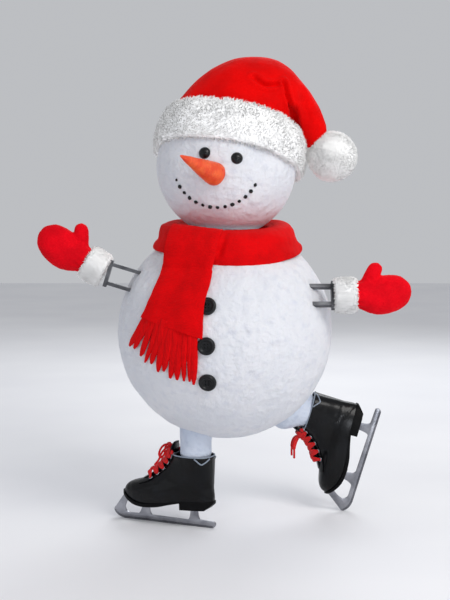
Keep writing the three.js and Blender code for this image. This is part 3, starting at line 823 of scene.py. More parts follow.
def make_eyes():
    bead = start_from("uv_sphere", segments=48, ring_count=32, radius=11.5)
    bead.scale = (1, 1, 0.8)
    settle(bead)
    lump(bead, 6, 0.35)
    for name, azimuth, elevation in (("left", -17.8, 9.3), ("right", 8.1, 5.1)):
        place = stand_on(HEAD_CENTRE, HEAD_RADIUS, heading(azimuth, elevation), 2)
        complete(put(copy_of(bead), place), name + "_eye_bead", COAL, ["eye_" + name])
    bpy.data.objects.remove(bead)


def make_nose():
    """A blunt-rooted carrot with growth rings, a little crooked."""
    profile = [[0.1, -9], [14, -8.5], [20.5, -4], [22.2, 4], [20.4, 18], [16.8, 36], [13, 52], [9.2, 69],
               [5.4, 84], [2.6, 93], [0.4, 96.6]]
    rings = []
    for radius, height in spline(profile, 110):
        growth = abs(math.sin(height * 0.42 + 0.8 * math.sin(height * 0.13)))
        ridge = 1 - 0.03 * growth * min(height / 20, 1) ** 2
        bend = 1.6 * math.sin(max(height, 0) / 30)
        rings.append(round_ring((bend, -bend * 0.6, height), radius * ridge, 48))
    nose = skin(rings, "pole")
    lump(nose, 14, 1.1)
    reach = nose.data.attributes.new("reach", "FLOAT", "POINT")
    reach.data.foreach_set("value", (points_of(nose)[:, 2] / 96).astype(np.float32))
    place = stand_on(HEAD_CENTRE, HEAD_RADIUS, heading(-8.7, -7.7), 2, Vector((-64, -63, 33)))
    complete(put(nose, place), "carrot", CARROT, ["nose_carrot"])


def make_smile():
    """Fourteen chips of coal, one chip copied and turned."""
    chip = start_from("ico_sphere", subdivisions=4, radius=4.5)
    lump(chip, 4, 1.4, "VORONOI")
    lump(chip, 2, 0.4)
    spread = math.radians(38.3)  # the smile's distance round the ball from straight ahead
    for k in range(14):
        bearing = math.radians(-63.3 + 126.6 * k / 13 - 3.7)
        outward = Vector((math.sin(spread) * math.sin(bearing), -math.cos(spread),
                          -math.sin(spread) * math.cos(bearing)))
        outward = Matrix.Rotation(-math.radians(3), 3, "X") @ outward
        outward = Matrix.Rotation(math.radians(-9.6), 3, "Z") @ outward
        size = 0.62 if k == 0 else 0.9 + 0.1 * math.sin(k * 2.3)
        place = stand_on(HEAD_CENTRE, HEAD_RADIUS, outward, 1) @ Matrix.Rotation(k * 1.9, 4, "Z")
        piece = put(copy_of(chip), place @ Matrix.Scale(size, 4))
        complete(piece, f"coal_chip_{k + 1:02d}", COAL, [f"mouth_pebble_{k + 1:02d}"])
    bpy.data.objects.remove(chip)


def make_buttons():
    """A turned coat button: raised rim, dished middle and four thread holes."""
    profile = [[0.2, -1], [15, -1], [16.4, 0.5], [16.9, 3.5], [16.2, 6.6], [14.4, 8.4], [12.2, 8.6],
               [10.6, 7.6], [9.4, 6.4], [7, 5.9], [0.2, 5.7]]
    rings = [round_ring((0, 0, height), radius, 64) for radius, height in spline(profile, 60)]
    button = skin(rings, "pole")
    drills = []
    for k in range(4):
        angle = math.pi / 4 + k * math.pi / 2
        drills.append(start_from("cylinder", vertices=20, radius=1.7, depth=12,
                                 location=(4.2 * math.cos(angle), 4.2 * math.sin(angle), 8)))
    drill = join(drills)
    modify(button, "BOOLEAN", object=drill, operation="DIFFERENCE", solver="EXACT")
    bpy.data.objects.remove(drill)
    for name, elevation in (("top", 18.2), ("middle", -1.4), ("bottom", -20.2)):
        place = stand_on(BODY_CENTRE, BODY_RADIUS, heading(-9.2, elevation), 1)
        complete(put(copy_of(button), place), name + "_coat_button", HORN, ["button_" + name], 35)
    bpy.data.objects.remove(button)


# ---------------------------------------------------------------- hat

HAT = Matrix.Translation(HEAD_CENTRE) @ (
    Matrix.Rotation(-math.radians(15.5), 4, "X") @ Matrix.Rotation(math.radians(10), 4, "Y"))

CREASES = [  # (x, z) along each crease of the cap, its width and its depth
    ([[54, 886], [63, 879.5], [73, 872.5], [86, 870.5], [103, 873]], 3.4, 12),
    ([[113, 877], [117, 866], [121, 849], [126, 830]], 3.2, 12),
    ([[130, 826], [134.5, 815], [142.5, 790]], 6, 13),
    ([[152, 858], [156, 836], [164, 812]], 7, 3),
]
REAR_CREASES = [
    ([[-20, 890], [30, 862], [96, 846]], 8, 7),
    ([[60, 905], [104, 872], [136, 820]], 7, 8),
    ([[128, 890], [146, 850], [158, 812]], 7, 6),
]


def far_from(points, line):
    """Each point's distance from a line through the given points."""
    line = spline(line, 40)
    return np.min(np.linalg.norm(points[:, None, :] - line[None, :, :], axis=2), axis=1)


def make_cap():
    turn = HAT.to_3x3()
    across, back, up = (np.array(turn.col[k]) for k in range(3))
    centre = np.array(HEAD_CENTRE)
    count = 144
    rings = []
    for height, radius in ([56, 121.5], [78, 122.8], [97, 122.5]):
        rings.append(ellipse(centre + up * height, across, back, radius, radius, count))
    leans = [
        [141, 794, -88, 853, 114, 26], [141, 797, -40, 901, 103, 25], [141, 799, 22, 931, 90, 22],
        [142, 799, 84, 931, 74, 17], [144, 798, 127, 911, 60, 12], [149, 797, 162, 872, 45, 7],
        [150, 791, 188, 831, 33, 3], [153, 778, 201, 795, 26, 0], [158, 764, 200, 776, 21, -2],
        [164, 752, 196, 762, 14, -2],
    ]
    for fold_x, fold_z, crown_x, crown_z, depth, y in leans:
        inner, outer = np.array([fold_x, y, fold_z]), np.array([crown_x, y, crown_z])
        half = np.linalg.norm(inner - outer) / 2
        rings.append(ellipse((inner + outer) / 2, (inner - outer) / half / 2, (0, 1, 0), half, depth, count))
    cap = skin(spline(np.array(rings), 92), "flat")
    points, outward = points_of(cap), points_of(cap, "normal")
    push = np.zeros(len(points))
    for creases, side in ((CREASES, -1), (REAR_CREASES, 1)):
        facing = smooth_step(0.05, 0.5, side * outward[:, 1])
        for line, width, depth in creases:
            away = far_from(points[:, [0, 2]], line)
            push -= facing * depth * np.exp(-((away / width) ** 2))
            push += facing * depth * 0.3 * np.exp(-(((away - 2.2 * width) / width) ** 2))
    points += outward * push[:, None]
    move_points(cap, points)
    lump(cap, 45, 4)
    lump(cap, 16, 1.4)
    modify(cap, "SUBSURF", levels=1, render_levels=1)
    complete(put(cap), "cap_cloth", PLUSH, ["hat_cap"])


def make_hat_fur():
    """The band, a roll carried round the hat's own axis, and the pompom."""
    section = spline([[136, 14], [146, 11], [149, 26], [150, 46], [146, 66], [137, 84], [126, 93], [122, 84],
                      [124, 60], [134, 34]], 44, closed=True)
    rings = carried_round(
        section, 160, lambda angle: 1 + 0.012 * math.sin(5 * angle + 1) + 0.008 * math.sin(11 * angle))
    band = put(skin([ring[:, [1, 2, 0]] for ring in rings], "joined"), HAT)
    lump(band, 0.03, 0.004)
    band = add_fur(band, 20000, 0.0068, 0.001, 11, 0.5, 0.3)
    complete(band, "fur_band", FUR, ["hat_band"])

    ball = start_from("ico_sphere", subdivisions=5, radius=43)
    lump(ball, 18, 3)
    ball = put(ball, Matrix.Translation((213, -2, 736)))
    ball = add_fur(ball, 17000, 0.008, 0.001, 12, 0.5, 0.3)
    complete(ball, "fur_pompom", FUR, ["hat_pompom"])


# ---------------------------------------------------------------- scarf

WRAP_SIDE = [[98, 606], [110, 611], [120, 607], [124, 597], [126, 587], [129, 578], [134, 570], [145, 562],
             [150, 551], [143, 547], [122, 566], [85, 592]]
WRAP_FRONT = [[92, 586], [120, 592], [143, 588], [157, 579], [164, 569], [167, 558], [168, 547], [166, 535],
              [162, 527], [154, 538], [128, 563], [85, 592]]


def wrap_point(around, across):
    """The wrap's surface: around the neck, and round the section of its folded cloth."""
    angle = around * 2 * math.pi
    side = spline(WRAP_SIDE, 240, closed=True)
    front = spline(WRAP_FRONT, 240, closed=True)
    index = np.minimum((across * 240).astype(int), 239) % 240
    share = (((1 - np.sin(angle)) / 2) ** 2)[:, None]
    radius, height = (side[index] * (1 - share) + front[index] * share).T
    outer = smooth_step(120, 150, radius)
    winding = np.sin(height * 0.2 + 4 * np.sin(angle * 2 + 0.6) + 2)
    fold = 0.8 * winding + 0.8 * np.sin(angle * 9 + height * 0.05)
    to_left = smooth_step(0.1, 0.95, -np.cos(angle))
    radius = radius + fold * outer - 11 * to_left * outer
    height = height + (14 * to_left + 5 * smooth_step(0.4, 1, np.cos(angle))) * outer
    beside_tail = (radius * np.cos(angle) - 4 - (height - 590) * 0.36) / 4.5
    radius -= 8 * np.exp(-(beside_tail**2)) * (np.sin(angle) < 0) * outer * smooth_step(532, 556, height)
    height = height + 1.8 * np.sin(angle * 3 + 1) * smooth_step(95, 120, radius)
    return np.stack([radius * np.cos(angle), radius * np.sin(angle), height], axis=1)


def cloth_radius(height, lift):
    """How far from the figure's axis a cloth lies on the wrap and, below it, on the body ball."""
    on_wrap = 169 + (146 - 169) * smooth_step(550, 600, height) + lift
    level = BODY_RADIUS + lift
    on_body = np.sqrt(np.maximum(level**2 - (height - BODY_CENTRE.z) ** 2, 0))
    blend = smooth_step(505, 535, height)
    return np.where(height > 500, on_body * (1 - blend) + np.maximum(on_wrap, on_body) * blend, on_body)


def in_front(x, reach, height):
    """The point at a distance from the figure's axis, on its front."""
    return np.stack([x, -np.sqrt(np.maximum(reach**2 - x**2, 1)), height], axis=-1)


TAIL_ROWS = [  # where it rolls over the wrap: left x and z, right x and z, and its distance from the axis
    [-88, 580, -4, 572, 118], [-92, 594, -4, 584, 121], [-96, 602, -5, 591, 131], [-99, 601, -6, 591, 143],
    [-103, 593, -8, 585, 154], [-108, 579, -13, 571, 165], [-112, 559, -18, 551, 174],
    [-115, 530, -25, 520, 175],
]
TAIL_HANG = [[-116, 528, -24, 517], [-121, 508, -29, 495], [-131, 486, -35, 470], [-141, 463, -38, 446],
             [-150, 443, -41, 420], [-157, 430, -43, 396]]


def tail_point(across, down):
    """The tail's surface: over the wrap for its first share, and then down the body."""
    tops = spline(np.array(TAIL_ROWS), 400)
    hangs = spline(np.array(TAIL_HANG), 400)
    share = 0.42
    top_index = np.clip(down / share * 399, 0, 399).astype(int)
    hang_index = np.clip((down - share) / (1 - share) * 399, 0, 399).astype(int)
    rolled = down < share
    rows = np.where(rolled[:, None], tops[top_index][:, :4], hangs[hang_index])
    waist = 1.5 * np.sin(down * 14 + 0.7)
    x = rows[:, 0] + (rows[:, 2] - rows[:, 0] + waist) * across
    height = rows[:, 1] + (rows[:, 3] - rows[:, 1]) * across
    radius = tops[top_index][:, 4] + 1
    fold = 2.2 * np.sin(across * 9 + 1.5 * down) * (0.3 + 0.7 * smooth_step(0.15, 0.5, down))
    crossing = 5 * np.exp(-(((across - 0.93) / 0.12) ** 2)) * np.exp(-(((down - 0.3) / 0.16) ** 2))
    own = cloth_radius(height, 7.5)
    ease = smooth_step(share - 0.06, share + 0.02, down)
    reach = np.where(rolled, radius * (1 - ease) + own * ease, own) + fold + crossing
    return in_front(x, reach, height)


def make_scarf():
    wrap = cloth_panel(260, 64, wrap_point)
    face_outwards(wrap, merge=0.05)
    lump(wrap, 16, 1.5)
    complete(put(wrap), "scarf_wrap", KNIT, ["scarf"])

    tail = cloth_panel(44, 110, tail_point)
    modify(tail, "SOLIDIFY", thickness=7, offset=0)
    soften_edges(tail, 2.2)
    lump(tail, 14, 1.6)
    modify(tail, "SUBSURF", levels=1, render_levels=1)
    complete(put(tail), "scarf_tail", KNIT)

    random = np.random.default_rng(5)
    tips = spline(np.array([[-181, 376], [-153, 349], [-121, 330], [-86, 319], [-57, 311]]), 12)
    plump = np.array([7, 7.4, 7.6, 7.8, 7.8, 7.6, 7.2, 6.4, 2.8])
    narrower = {3: 0.72, 9: 0.72, 10: 0.72, 11: 0.85}
    thickness = [2.8, 2.8, 2.8, 2.6, 2.4, 2.2, 1.6]
    strands = []
    for k in range(12):
        share = (k + 0.5) / 12
        start_x = -157 + (-50 + 157) * (0.02 + 0.96 * share)
        start_z = 430 + (396 - 430) * share
        tip_x, tip_z = tips[k] + random.normal(size=2) * (0.9, 2.6)
        path = []
        for step in np.linspace(-0.16, 1, 28):
            sway = 1.1 * math.sin(step * 5 + k * 1.7) * step
            x, height = start_x + (tip_x - start_x) * step + sway, start_z + (tip_z - start_z) * step
            lift = 6.8 - 2.2 * step + 0.8 * math.sin(k * 2.1 + step * 4)
            path.append(in_front(x, cloth_radius(height, lift), height))
        outward = unit(np.array(path) - np.array(BODY_CENTRE))
        strands.append(strand(path, plump * narrower.get(k, 1), thickness, outward, 14))
    fringe = join(strands)
    lump(fringe, 6, 0.9)
    complete(put(fringe), "scarf_fringe", YARN)
    wrap, tail, fringe = (bpy.data.objects[n] for n in ("scarf_wrap", "scarf_tail", "scarf_fringe"))


# ---------------------------------------------------------------- arms

LEFT_ARM = ((-232, -50, 508), 17, 0, 180)  # where it stands, its lift, its twist and the way it faces
RIGHT_ARM = ((211, -99, 467), 0, -30, 0)


def knit_mitten(facing_thumb):
    """A stuffed felt mitten along +X with its thumb towards +Z."""
    stations = [[-36, 21, 21, 0], [-18, 23, 23, 0], [0, 24.5, 24, 0], [16, 30.5, 22.5, -2],
                [40, 36.5, 23, -3], [66, 36.5, 21.5, -0.5], [86, 30.5, 18.5, 1.5], [98, 21.5, 13.5, 2.5],
                [104.5, 11, 8, 3], [106, 1, 1, 3]]
    rings = [ellipse((x, 0, rise), (0, 0, 1), (0, 1, 0), tall, thick, 56)
             for x, tall, thick, rise in spline(stations, 70)]
    hand = skin(rings, "pole")
    root, tip = Vector((16, 0, 8)), Vector((44, facing_thumb, 60))
    across = (tip - root).normalized().cross(Vector((0, 1, 0))).normalized()
    thumb = [[0, 11], [0.25, 14], [0.55, 14.2], [0.8, 13], [0.94, 8.6], [1, 0.8]]
    thumb_rings = [ellipse(root.lerp(tip, share), across, (0, 1, 0), radius, radius * 0.92, 36)
                   for share, radius in spline(thumb, 30)]
    mitten = join([hand, skin(thumb_rings, "pole")])
    modify(mitten, "REMESH", mode="VOXEL", voxel_size=2.0)
    modify(mitten, "SMOOTH", factor=0.6, iterations=9)
    points, outward = points_of(mitten), points_of(mitten, "normal")
    angle = np.arctan2(points[:, 2], points[:, 1])
    gather = np.exp(-(((points[:, 0] - 4) / 14) ** 2))
    points += outward * (0.9 * gather * np.sin(angle * 13))[:, None]
    away = far_from(points[:, [0, 2]], [[26, 30], [34, 22], [44, 20], [54, 24]])
    on_sides = smooth_step(0.2, 0.7, np.abs(outward[:, 1]))
    points -= outward * (1.8 * np.exp(-((away / 3.2) ** 2)) * on_sides)[:, None]
    seam = np.exp(-((points[:, 1] / 1.1) ** 2)) * smooth_step(6, 20, points[:, 0])
    points += outward * (0.8 * seam)[:, None]
    move_points(mitten, points)
    lump(mitten, 22, 2.4)
    lump(mitten, 7, 0.7)
    return mitten


def make_arms():
    felt = knit_mitten(0)
    section = spline([[26.5, -39], [30, -39.5], [31.5, -30], [32, -18], [31, -6], [28, -1.5], [25.5, -4],
                      [25.5, -20]], 36, closed=True)
    cuff = skin(carried_round(section, 96, lambda angle: 1 + 0.02 * math.sin(4 * angle)), "joined")
    arms = (("left", LEFT_ARM, 30, 17), ("right", RIGHT_ARM, 2, 0))
    for name, (base, _, _, facing), mitten_lift, bracket_lift in arms:
        offset = 40.3 + math.tan(math.radians(mitten_lift - bracket_lift)) * 27
        place = (Matrix.Translation(base) @ Matrix.Rotation(math.radians(facing), 4, "Z")
                 @ Matrix.Rotation(-math.radians(mitten_lift), 4, "Y") @ Matrix.Translation((offset, 0, 0)))
        mitten = put(copy_of(felt), place)
        complete(mitten, name + "_felt_mitten", FELT, [name + "_mitten"])
        trim = add_fur(put(copy_of(cuff), place), 6500, 0.0052, 0.0009, 20 + facing, 0.5, 0.3)
        complete(trim, name + "_fur_cuff", FUR, [name + "_cuff"])
        bracket = frame["nodes"][name + "_arm_bracket"]
        bracket.data.materials.clear()
        bracket.data.materials.append(DARK_STEEL)
        weld = bracket.modifiers.new("weld", "WELD")
        weld.merge_threshold = 1e-5
        bevel = bracket.modifiers.new("edges", "BEVEL")
        bevel.width, bevel.segments, bevel.limit_method = 0.0009, 3, "ANGLE"
        bevel.harden_normals = False
    bpy.data.objects.remove(felt)
    bpy.data.objects.remove(cuff)


# ---------------------------------------------------------------- skates

INSTEP = [[164, 86], [140, 100], [119, 114], [104, 131], [95, 147], [89, 164]]


def on_instep(share, lift, side=0.0):
    """A point out in front of the instep line, in the skate's own frame: +X to the toe, +Z up."""
    line = spline(INSTEP, 301)
    index = int(np.clip(share, 0, 1) * 300)
    low, high = line[max(index - 2, 0)], line[min(index + 2, 300)]
    along = unit(high - low)
    beyond = max(share - 1, 0) * 90
    x, z = line[index] + along * beyond + np.array([along[1], -along[0]]) * lift
    return np.array([x, side, z])


def footprint(height, heel_x, toe_x, heel_wide, toe_wide, count=84):
    """The foot's outline at a height, with its half widths at the heel and at the toe."""
    angles = np.linspace(0, 2 * math.pi, count, endpoint=False)
    forward = np.sign(np.cos(angles)) * np.abs(np.cos(angles)) ** 0.85
    sideways = np.sign(np.sin(angles)) * np.abs(np.sin(angles)) ** 0.8
    share = (forward + 1) / 2
    wide = heel_wide + (toe_wide - heel_wide) * share
    level = np.full(count, float(height))
    return np.stack([heel_x + (toe_x - heel_x) * share, sideways * wide, level], axis=1)


def curve_points(steps):
    """An outline from corner points and (control, end) pairs."""
    made = [np.array(steps[0], float)]
    for step in steps[1:]:
        if len(step) == 2:
            made.append(np.array(step, float))
            continue
        start, control, end = made[-1], np.array(step[:2], float), np.array(step[2:], float)
        for share in np.linspace(0, 1, 9)[1:]:
            made.append(start * (1 - share) ** 2 + 2 * control * share * (1 - share) + end * share**2)
    return np.array(made)


BLADE_OUTLINE = curve_points([
    (8, 0), (208, 0), (225, 2, 231, 14), (232, 19, 228, 22), (202, 58), (188, 51), (203, 38, 206, 24),
    (205, 13, 195, 12.5), (176, 12.5), (168, 14, 164, 41), (150, 40), (151, 14, 143, 12.5), (64, 11.5),
    (57, 13, 57, 41), (42, 41), (42, 15, 35, 14), (5, 13), (-2, 6, 8, 0)])[:-1]


def plate(outline, half_thick):
    """A flat plate across the blade's plane from an outline of (x, z) points."""
    sides = [np.stack([outline[:, 0], np.full(len(outline), y), outline[:, 1]], axis=1)
             for y in (-half_thick, half_thick)]
    return skin(sides, "flat")


STANDING = Matrix.Translation((-16, -62, 0)) @ Matrix.Rotation(math.radians(156), 4, "Z")
TRAILING = Matrix.Rotation(math.radians(180), 4, "Z") @ Matrix.Rotation(math.radians(73), 4, "Y")
TRAILING = Matrix.Translation(
    (328, 77, -min((TRAILING @ Vector((x, 0, z))).z for x, z in BLADE_OUTLINE))) @ TRAILING


def sole_height(x):
    line = spline([[5, 54], [68, 54], [113, 46], [150, 43], [178, 48], [204, 62]], 200)
    return np.interp(x, line[:, 0], line[:, 1])


def make_boot():
    """The upper: a smooth lasted shell, open at the collar, with seams pressed into it."""
    levels = [
        [34, 16, 193, 26, 36], [45, 8, 201, 29, 38], [60, 6, 203, 29, 39], [72, 7, 199, 29, 38],
        [81, 8, 186, 29, 34], [89, 8, 158, 30, 28], [99, 8, 138, 31, 26], [112, 8, 118, 33, 27],
        [130, 8, 101, 35, 29], [142, 8, 93, 36, 32]]
    rings = [footprint(*row) for row in spline(levels, 74)]
    for height, inset in ((144.3, 0.8), (145, 2.2), (144, 3.6), (138, 4), (120, 4.6), (104, 6)):
        edge = footprint(height, 8 + inset, 93 - inset, 36 - inset, 32 - inset)
        rings.append(edge)
    shell = skin(rings, "flat")
    points, outward = points_of(shell), points_of(shell, "normal")
    points[:, 2] = np.where(points[:, 2] < 70, np.maximum(points[:, 2], sole_height(points[:, 0]) - 1.5),
                            points[:, 2])
    outside = smooth_step(0.0, 0.4, np.linalg.norm(outward, axis=1))
    seams = [
        [[160, 84], [151, 66], [143, 48], [140, 36]],
        [[12, 60], [40, 78], [58, 104], [60, 140]],
        [[186, 82], [181, 60], [182, 40]],
    ]
    push = np.zeros(len(points))
    for line in seams:
        away = far_from(points[:, [0, 2]], line)
        push -= 1.1 * np.exp(-((away / 1.5) ** 2)) * smooth_step(0.25, 0.6, np.abs(outward[:, 1]))
    creases = np.sin((points[:, 0] * 0.6 + points[:, 2]) * 0.33) * np.exp(
        -(((points[:, 0] - 118) / 20) ** 2) - (((points[:, 2] - 78) / 14) ** 2))
    push += 0.9 * creases
    points += outward * (push * outside)[:, None]
    move_points(shell, points)
    modify(shell, "SUBSURF", levels=1, render_levels=1)
    return shell


def make_facing(shell, side):
    """The strip along one side of the throat that carries the eyelets, laid onto the shell."""
    rows = []
    for share in np.linspace(0.02, 0.97, 40):
        rows.append([on_instep(share, 6 - 14 * (abs(y) / 39) ** 3, side * y)
                     for y in np.linspace(15 - 3 * share, 33 - 4 * share, 8)])
    rows = np.array(rows)

    def place(across, down):
        return rows[np.round(down * 39).astype(int), np.round(across * 7).astype(int)]

    strip = cloth_panel(7, 39, place)
    modify(strip, "SHRINKWRAP", target=shell, wrap_method="NEAREST_SURFACEPOINT", offset=0.7)
    modify(strip, "SMOOTH", factor=0.5, iterations=4)
    modify(strip, "SOLIDIFY", thickness=2.4, offset=0)
    soften_edges(strip, 0.7)
    face_outwards(strip)
    return strip


def eyelet_places(shell):
    """Six eyelets a side: a point on the facing and the way out of it."""
    found = {}
    for side in (-1, 1):
        for row in range(6):
            share = FIRST_EYELET + EYELET_PITCH * row
            guess = on_instep(share, 2 - 14 * (24 / 39) ** 3, side * (24 - 2 * share))
            _, point, normal, _ = shell.closest_point_on_mesh(Vector(guess))
            found[side, row] = (point + normal * 2.4, normal.normalized())
    return found


def make_eyelets(places):
    eyelet = start_from("torus", major_radius=3.5, minor_radius=1.25, major_segments=24, minor_segments=10)
    copies = []
    for point, normal in places.values():
        turn = Matrix.Translation(point) @ normal.to_track_quat("Z", "Y").to_matrix().to_4x4()
        copies.append(copy_of(eyelet, turn))
    bpy.data.objects.remove(eyelet)
    return join(copies)


def make_lacing(places):
    """Criss-cross lacing: from each eyelet over the tongue to the next one on the other side."""
    strands = []
    for row in range(5):
        for side in (-1, 1):
            start, out_start = places[side, row]
            end, out_end = places[-side, row + 1]
            over = 1.6 if (row + (side > 0)) % 2 else -0.4
            shares = (FIRST_EYELET + EYELET_PITCH * row, FIRST_EYELET + EYELET_PITCH * (row + 1))
            middle = [on_instep(shares[0] + (shares[1] - shares[0]) * t, 8.4 + over * (1 - abs(2 * t - 1)),
                                side * 24 * (1 - 2 * t)) for t in (0.28, 0.5, 0.72)]
            knots = [start - out_start * 2.5, start + out_start * 1.8, *middle, end + out_end * 1.8,
                     end - out_end * 2.5]
            path = spline([list(p) for p in knots], 30)
            facing = np.array([list(on_instep(shares[0], 10) - on_instep(shares[0], 0))] * 30)
            strands.append(strand(path, [1.8, 4.6, 5.2, 5.2, 4.6, 1.8], [1.9, 1.9], facing, 10))
    start, end = places[-1, 0][0], places[1, 0][0]
    lowest = FIRST_EYELET
    path = spline([list(start), on_instep(lowest, 6.5, -14), on_instep(lowest, 8, 0),
                   on_instep(lowest, 6.5, 14), list(end)], 24)
    facing = np.array([list(on_instep(lowest, 9) - on_instep(lowest, 0))] * 24)
    strands.append(strand(path, [1.8, 4.6, 5.2, 4.6, 1.8], [1.9, 1.9], facing, 10))
    return join(strands)


def make_tongue():
    shares = np.linspace(0.06, 1.04, 46)
    path = [on_instep(share, -1 + 2.5 * smooth_step(0.75, 1.0, share)) for share in shares]
    outward = [on_instep(share, 5) - on_instep(share, 0) for share in shares]
    return strand(path, [14, 17, 18, 18.5, 19, 19.5, 20, 19, 12], [3, 3.4, 3.6, 3.8, 4, 4.2, 4, 2.4],
                  np.array(outward), 28)


def make_sole():
    """Welt, stacked heel and arched sole, cut from one block."""
    top = [[x, float(sole_height(x))] for x in np.linspace(205, 6, 40)]
    arch = spline([[72, 49.5], [92, 45], [113, 39.5], [132, 36.8], [150, 36], [166, 37.6], [178, 41],
                   [192, 48], [205, 57]], 40)
    side = [[20, 37], [68, 37], [68.5, 50]] + [list(point) for point in arch]
    profile = plate(np.array(side + [[207, 62]] + top + [[4.5, 54], [5, 50], [11, 44.5]]), 60)
    plan = skin([footprint(z, 4, 206, 29, 41, 120) for z in (15, 80)])
    modify(profile, "BOOLEAN", object=plan, operation="INTERSECT", solver="EXACT")
    bpy.data.objects.remove(plan)
    soften_edges(profile, 0.9, angle_limit=0.7)
    return profile


def make_blade():
    blade = plate(BLADE_OUTLINE, 2.25)
    soften_edges(blade, 0.5, angle_limit=0.7)
    parts = [blade]
    for x, z, tilt, long, wide in ((49, 36.2, 0, 36, 34), (157, 35.4, 0.1, 34, 40)):
        flange = start_from("cube", size=1, location=(x, 0, z), rotation=(0, -tilt, 0),
                            scale=(long, wide, 2.2))
        settle(flange)
        modify(flange, "BEVEL", width=0.8, segments=3)
        parts.append(flange)
    for x, z in ((157, 28), (160, 8.4), (149, 8.2), (49.5, 28), (49.5, 8.6)):
        rivet = start_from("cylinder", vertices=20, radius=1.6, depth=5.6, location=(x, 0, z),
                           rotation=(math.pi / 2, 0, 0))
        settle(rivet)
        soften_edges(rivet, 0.5)
        parts.append(rivet)
    return join(parts)


def make_edge():
    """The hardened runner let into the blade's lower edge, a little proud of it."""
    low = curve_points([(9, 0.02), (207, 0.02), (224, 2, 230.4, 14)])
    high = curve_points([(227.4, 15.6), (222, 6.6, 206, 4.1), (9, 4.1), (5.6, 3.4, 9, 0.02)])[:-1]
    strip = plate(np.concatenate([low, high]), 2.6)
    soften_edges(strip, 0.25, 1, angle_limit=0.7)
    return strip


def piping(path, radius, closed):
    """A round cord sewn along a path."""
    path = np.array(path)
    if closed:
        ahead, behind = np.roll(path, -1, axis=0), np.roll(path, 1, axis=0)
        along = unit(ahead - behind)
        side = unit(np.cross(along, [0, 0, 1]))
        up = np.cross(side, along)
        rings = [ellipse(path[i], side[i], up[i], radius, radius, 10) for i in range(len(path))]
        return skin(rings + [rings[0]], "joined")
    return strand(path, [radius, radius], [radius, radius], np.array([[0, 0.3, 1]] * len(path)), 10)


BOWS = {  # each loop and end of the bow, from the knot, in the skate's own frame
    "standing": {
        "loop_a": [[0, 0, 0], [7, 9, 4], [13, 17, -2], [16, 21, -14], [12, 19, -21], [6, 11, -11],
                   [1, 3, -1]],
        "loop_b": [[0, 0, 0], [6, -8, 4], [15, -14, 0], [22, -17, -11], [20, -14, -21], [11, -8, -12],
                   [2, -2, -1]],
        "end_a": [[0, 0, 0], [6, 9, -3], [12, 17, -12], [16, 22, -25], [24, 25, -36]],
        "end_b": [[0, 0, 0], [7, -7, -3], [14, -15, -10], [18, -20, -21], [25, -23, -33]],
    },
    "trailing": {
        "loop_a": [[0, 0, 0], [3, 9, 5], [11, 15, 8], [24, 17, 7], [28, 12, 3], [17, 7, 3], [4, 2, 1]],
        "loop_b": [[0, 0, 0], [5, -9, 6], [14, -16, 9], [27, -18, 8], [32, -12, 4], [19, -7, 3], [4, -2, 1]],
        "end_a": [[0, 0, 0], [8, 7, 5], [20, 14, 6], [33, 16, 2], [46, 15, -2]],
        "end_b": [[0, 0, 0], [9, -7, 5], [21, -15, 7], [35, -19, 5], [48, -17, 1]],
    },
}


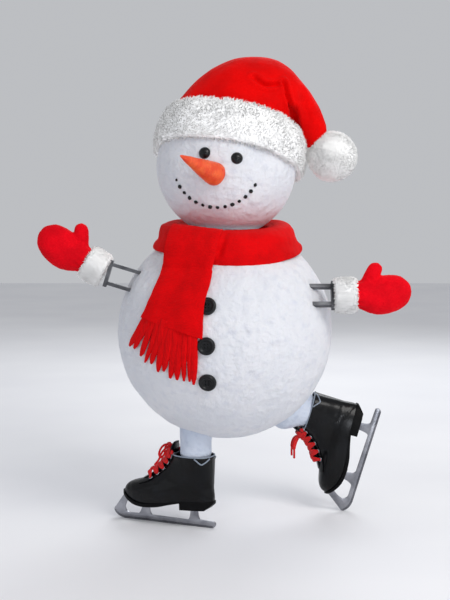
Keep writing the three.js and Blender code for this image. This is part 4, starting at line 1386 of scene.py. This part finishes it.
def make_bow(name, place):
    """The knot of the laces, its two loops and its two ends."""
    knot_at = on_instep(0.88 if name == "standing" else 0.76, 10)
    knot = start_from("ico_sphere", subdivisions=4, radius=5.4, location=knot_at)
    knot.scale = (1, 1.5, 1)
    settle(knot)
    lump(knot, 5, 2.2)
    knot = complete(put(knot, place), name + "_lace_knot", LACE)
    for label, route in BOWS[name].items():
        points = spline(np.array(route, float) + knot_at, 28)
        placed = [in_figure(place) @ (Vector(p) * MM) for p in points]
        curve = bpy.data.curves.new(f"{name}_lace_{label}", "CURVE")
        curve.dimensions = "3D"
        line = curve.splines.new("POLY")
        line.points.add(len(placed) - 1)
        for vert, point in zip(line.points, placed):
            vert.co = (*point, 1)
        curve.bevel_depth = LACE_DIAMETER / 2
        curve.bevel_resolution = 3
        curve.use_fill_caps = True
        curve.materials.append(LACE)
        cord = bpy.data.objects.new(f"{name}_lace_{label}", curve)
        bpy.context.scene.collection.objects.link(cord)
        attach(cord, "root")


def make_skates():
    shell = make_boot()
    places = eyelet_places(shell)
    collar = footprint(COLLAR_HEIGHT, 9.5, 91.5, 34.5, 30.5, 72)
    notch = []
    for side in (-1, 1):
        route = spline([[34, side * 36, 143], [26, side * 35, 136], [19, side * 32, 131],
                        [14, side * 26, 134], [9, side * 14, 142]], 30)
        laid = [shell.closest_point_on_mesh(Vector(point))[1:3] for point in route]
        notch.append([list(point + normal * 0.5) for point, normal in laid])
    facings = join([make_facing(shell, -1), make_facing(shell, 1)])
    parts = [
        (shell, "boot_shell", LEATHER, "boot_leather", "boot", 50),
        (facings, "boot_facing", LEATHER, "boot_leather", None, 40),
        (make_eyelets(places), "boot_eyelets", BLADE, "blade_steel", None, None),
        (make_lacing(places), "boot_lacing", LACE, "lace_cord", "laces", None),
        (make_tongue(), "boot_tongue", LEATHER, "tongue_lining", "tongue", None),
        (make_sole(), "boot_sole", SOLE, "sole_leather", "sole", 35),
        (make_blade(), "skate_blade", BLADE, "blade_steel", "blade", 35),
        (make_edge(), "skate_edge", EDGE, "blade_steel", None, 35),
        (join([piping(collar, 1.3, True)] + [piping(route, 1.3, False) for route in notch]),
         "boot_piping", LINING, "tongue_lining", None, None),
    ]
    for name, place in (("standing", STANDING), ("trailing", TRAILING)):
        for piece, label, material, slot, node, crease in parts:
            replaced = [f"{name}_{node}"] if node else []
            complete(put(copy_of(piece), place), f"{name}_{label}", material, replaced, crease)
        make_bow(name, place)
    for piece, *_ in parts:
        bpy.data.objects.remove(piece)


# ---------------------------------------------------------------- the whole figure

floor = set_up_studio()
floor.data.materials.append(floor_material())
make_skates()
make_snow()
make_eyes()
make_nose()
make_smile()
make_buttons()
make_cap()
make_hat_fur()
make_scarf()
make_arms()
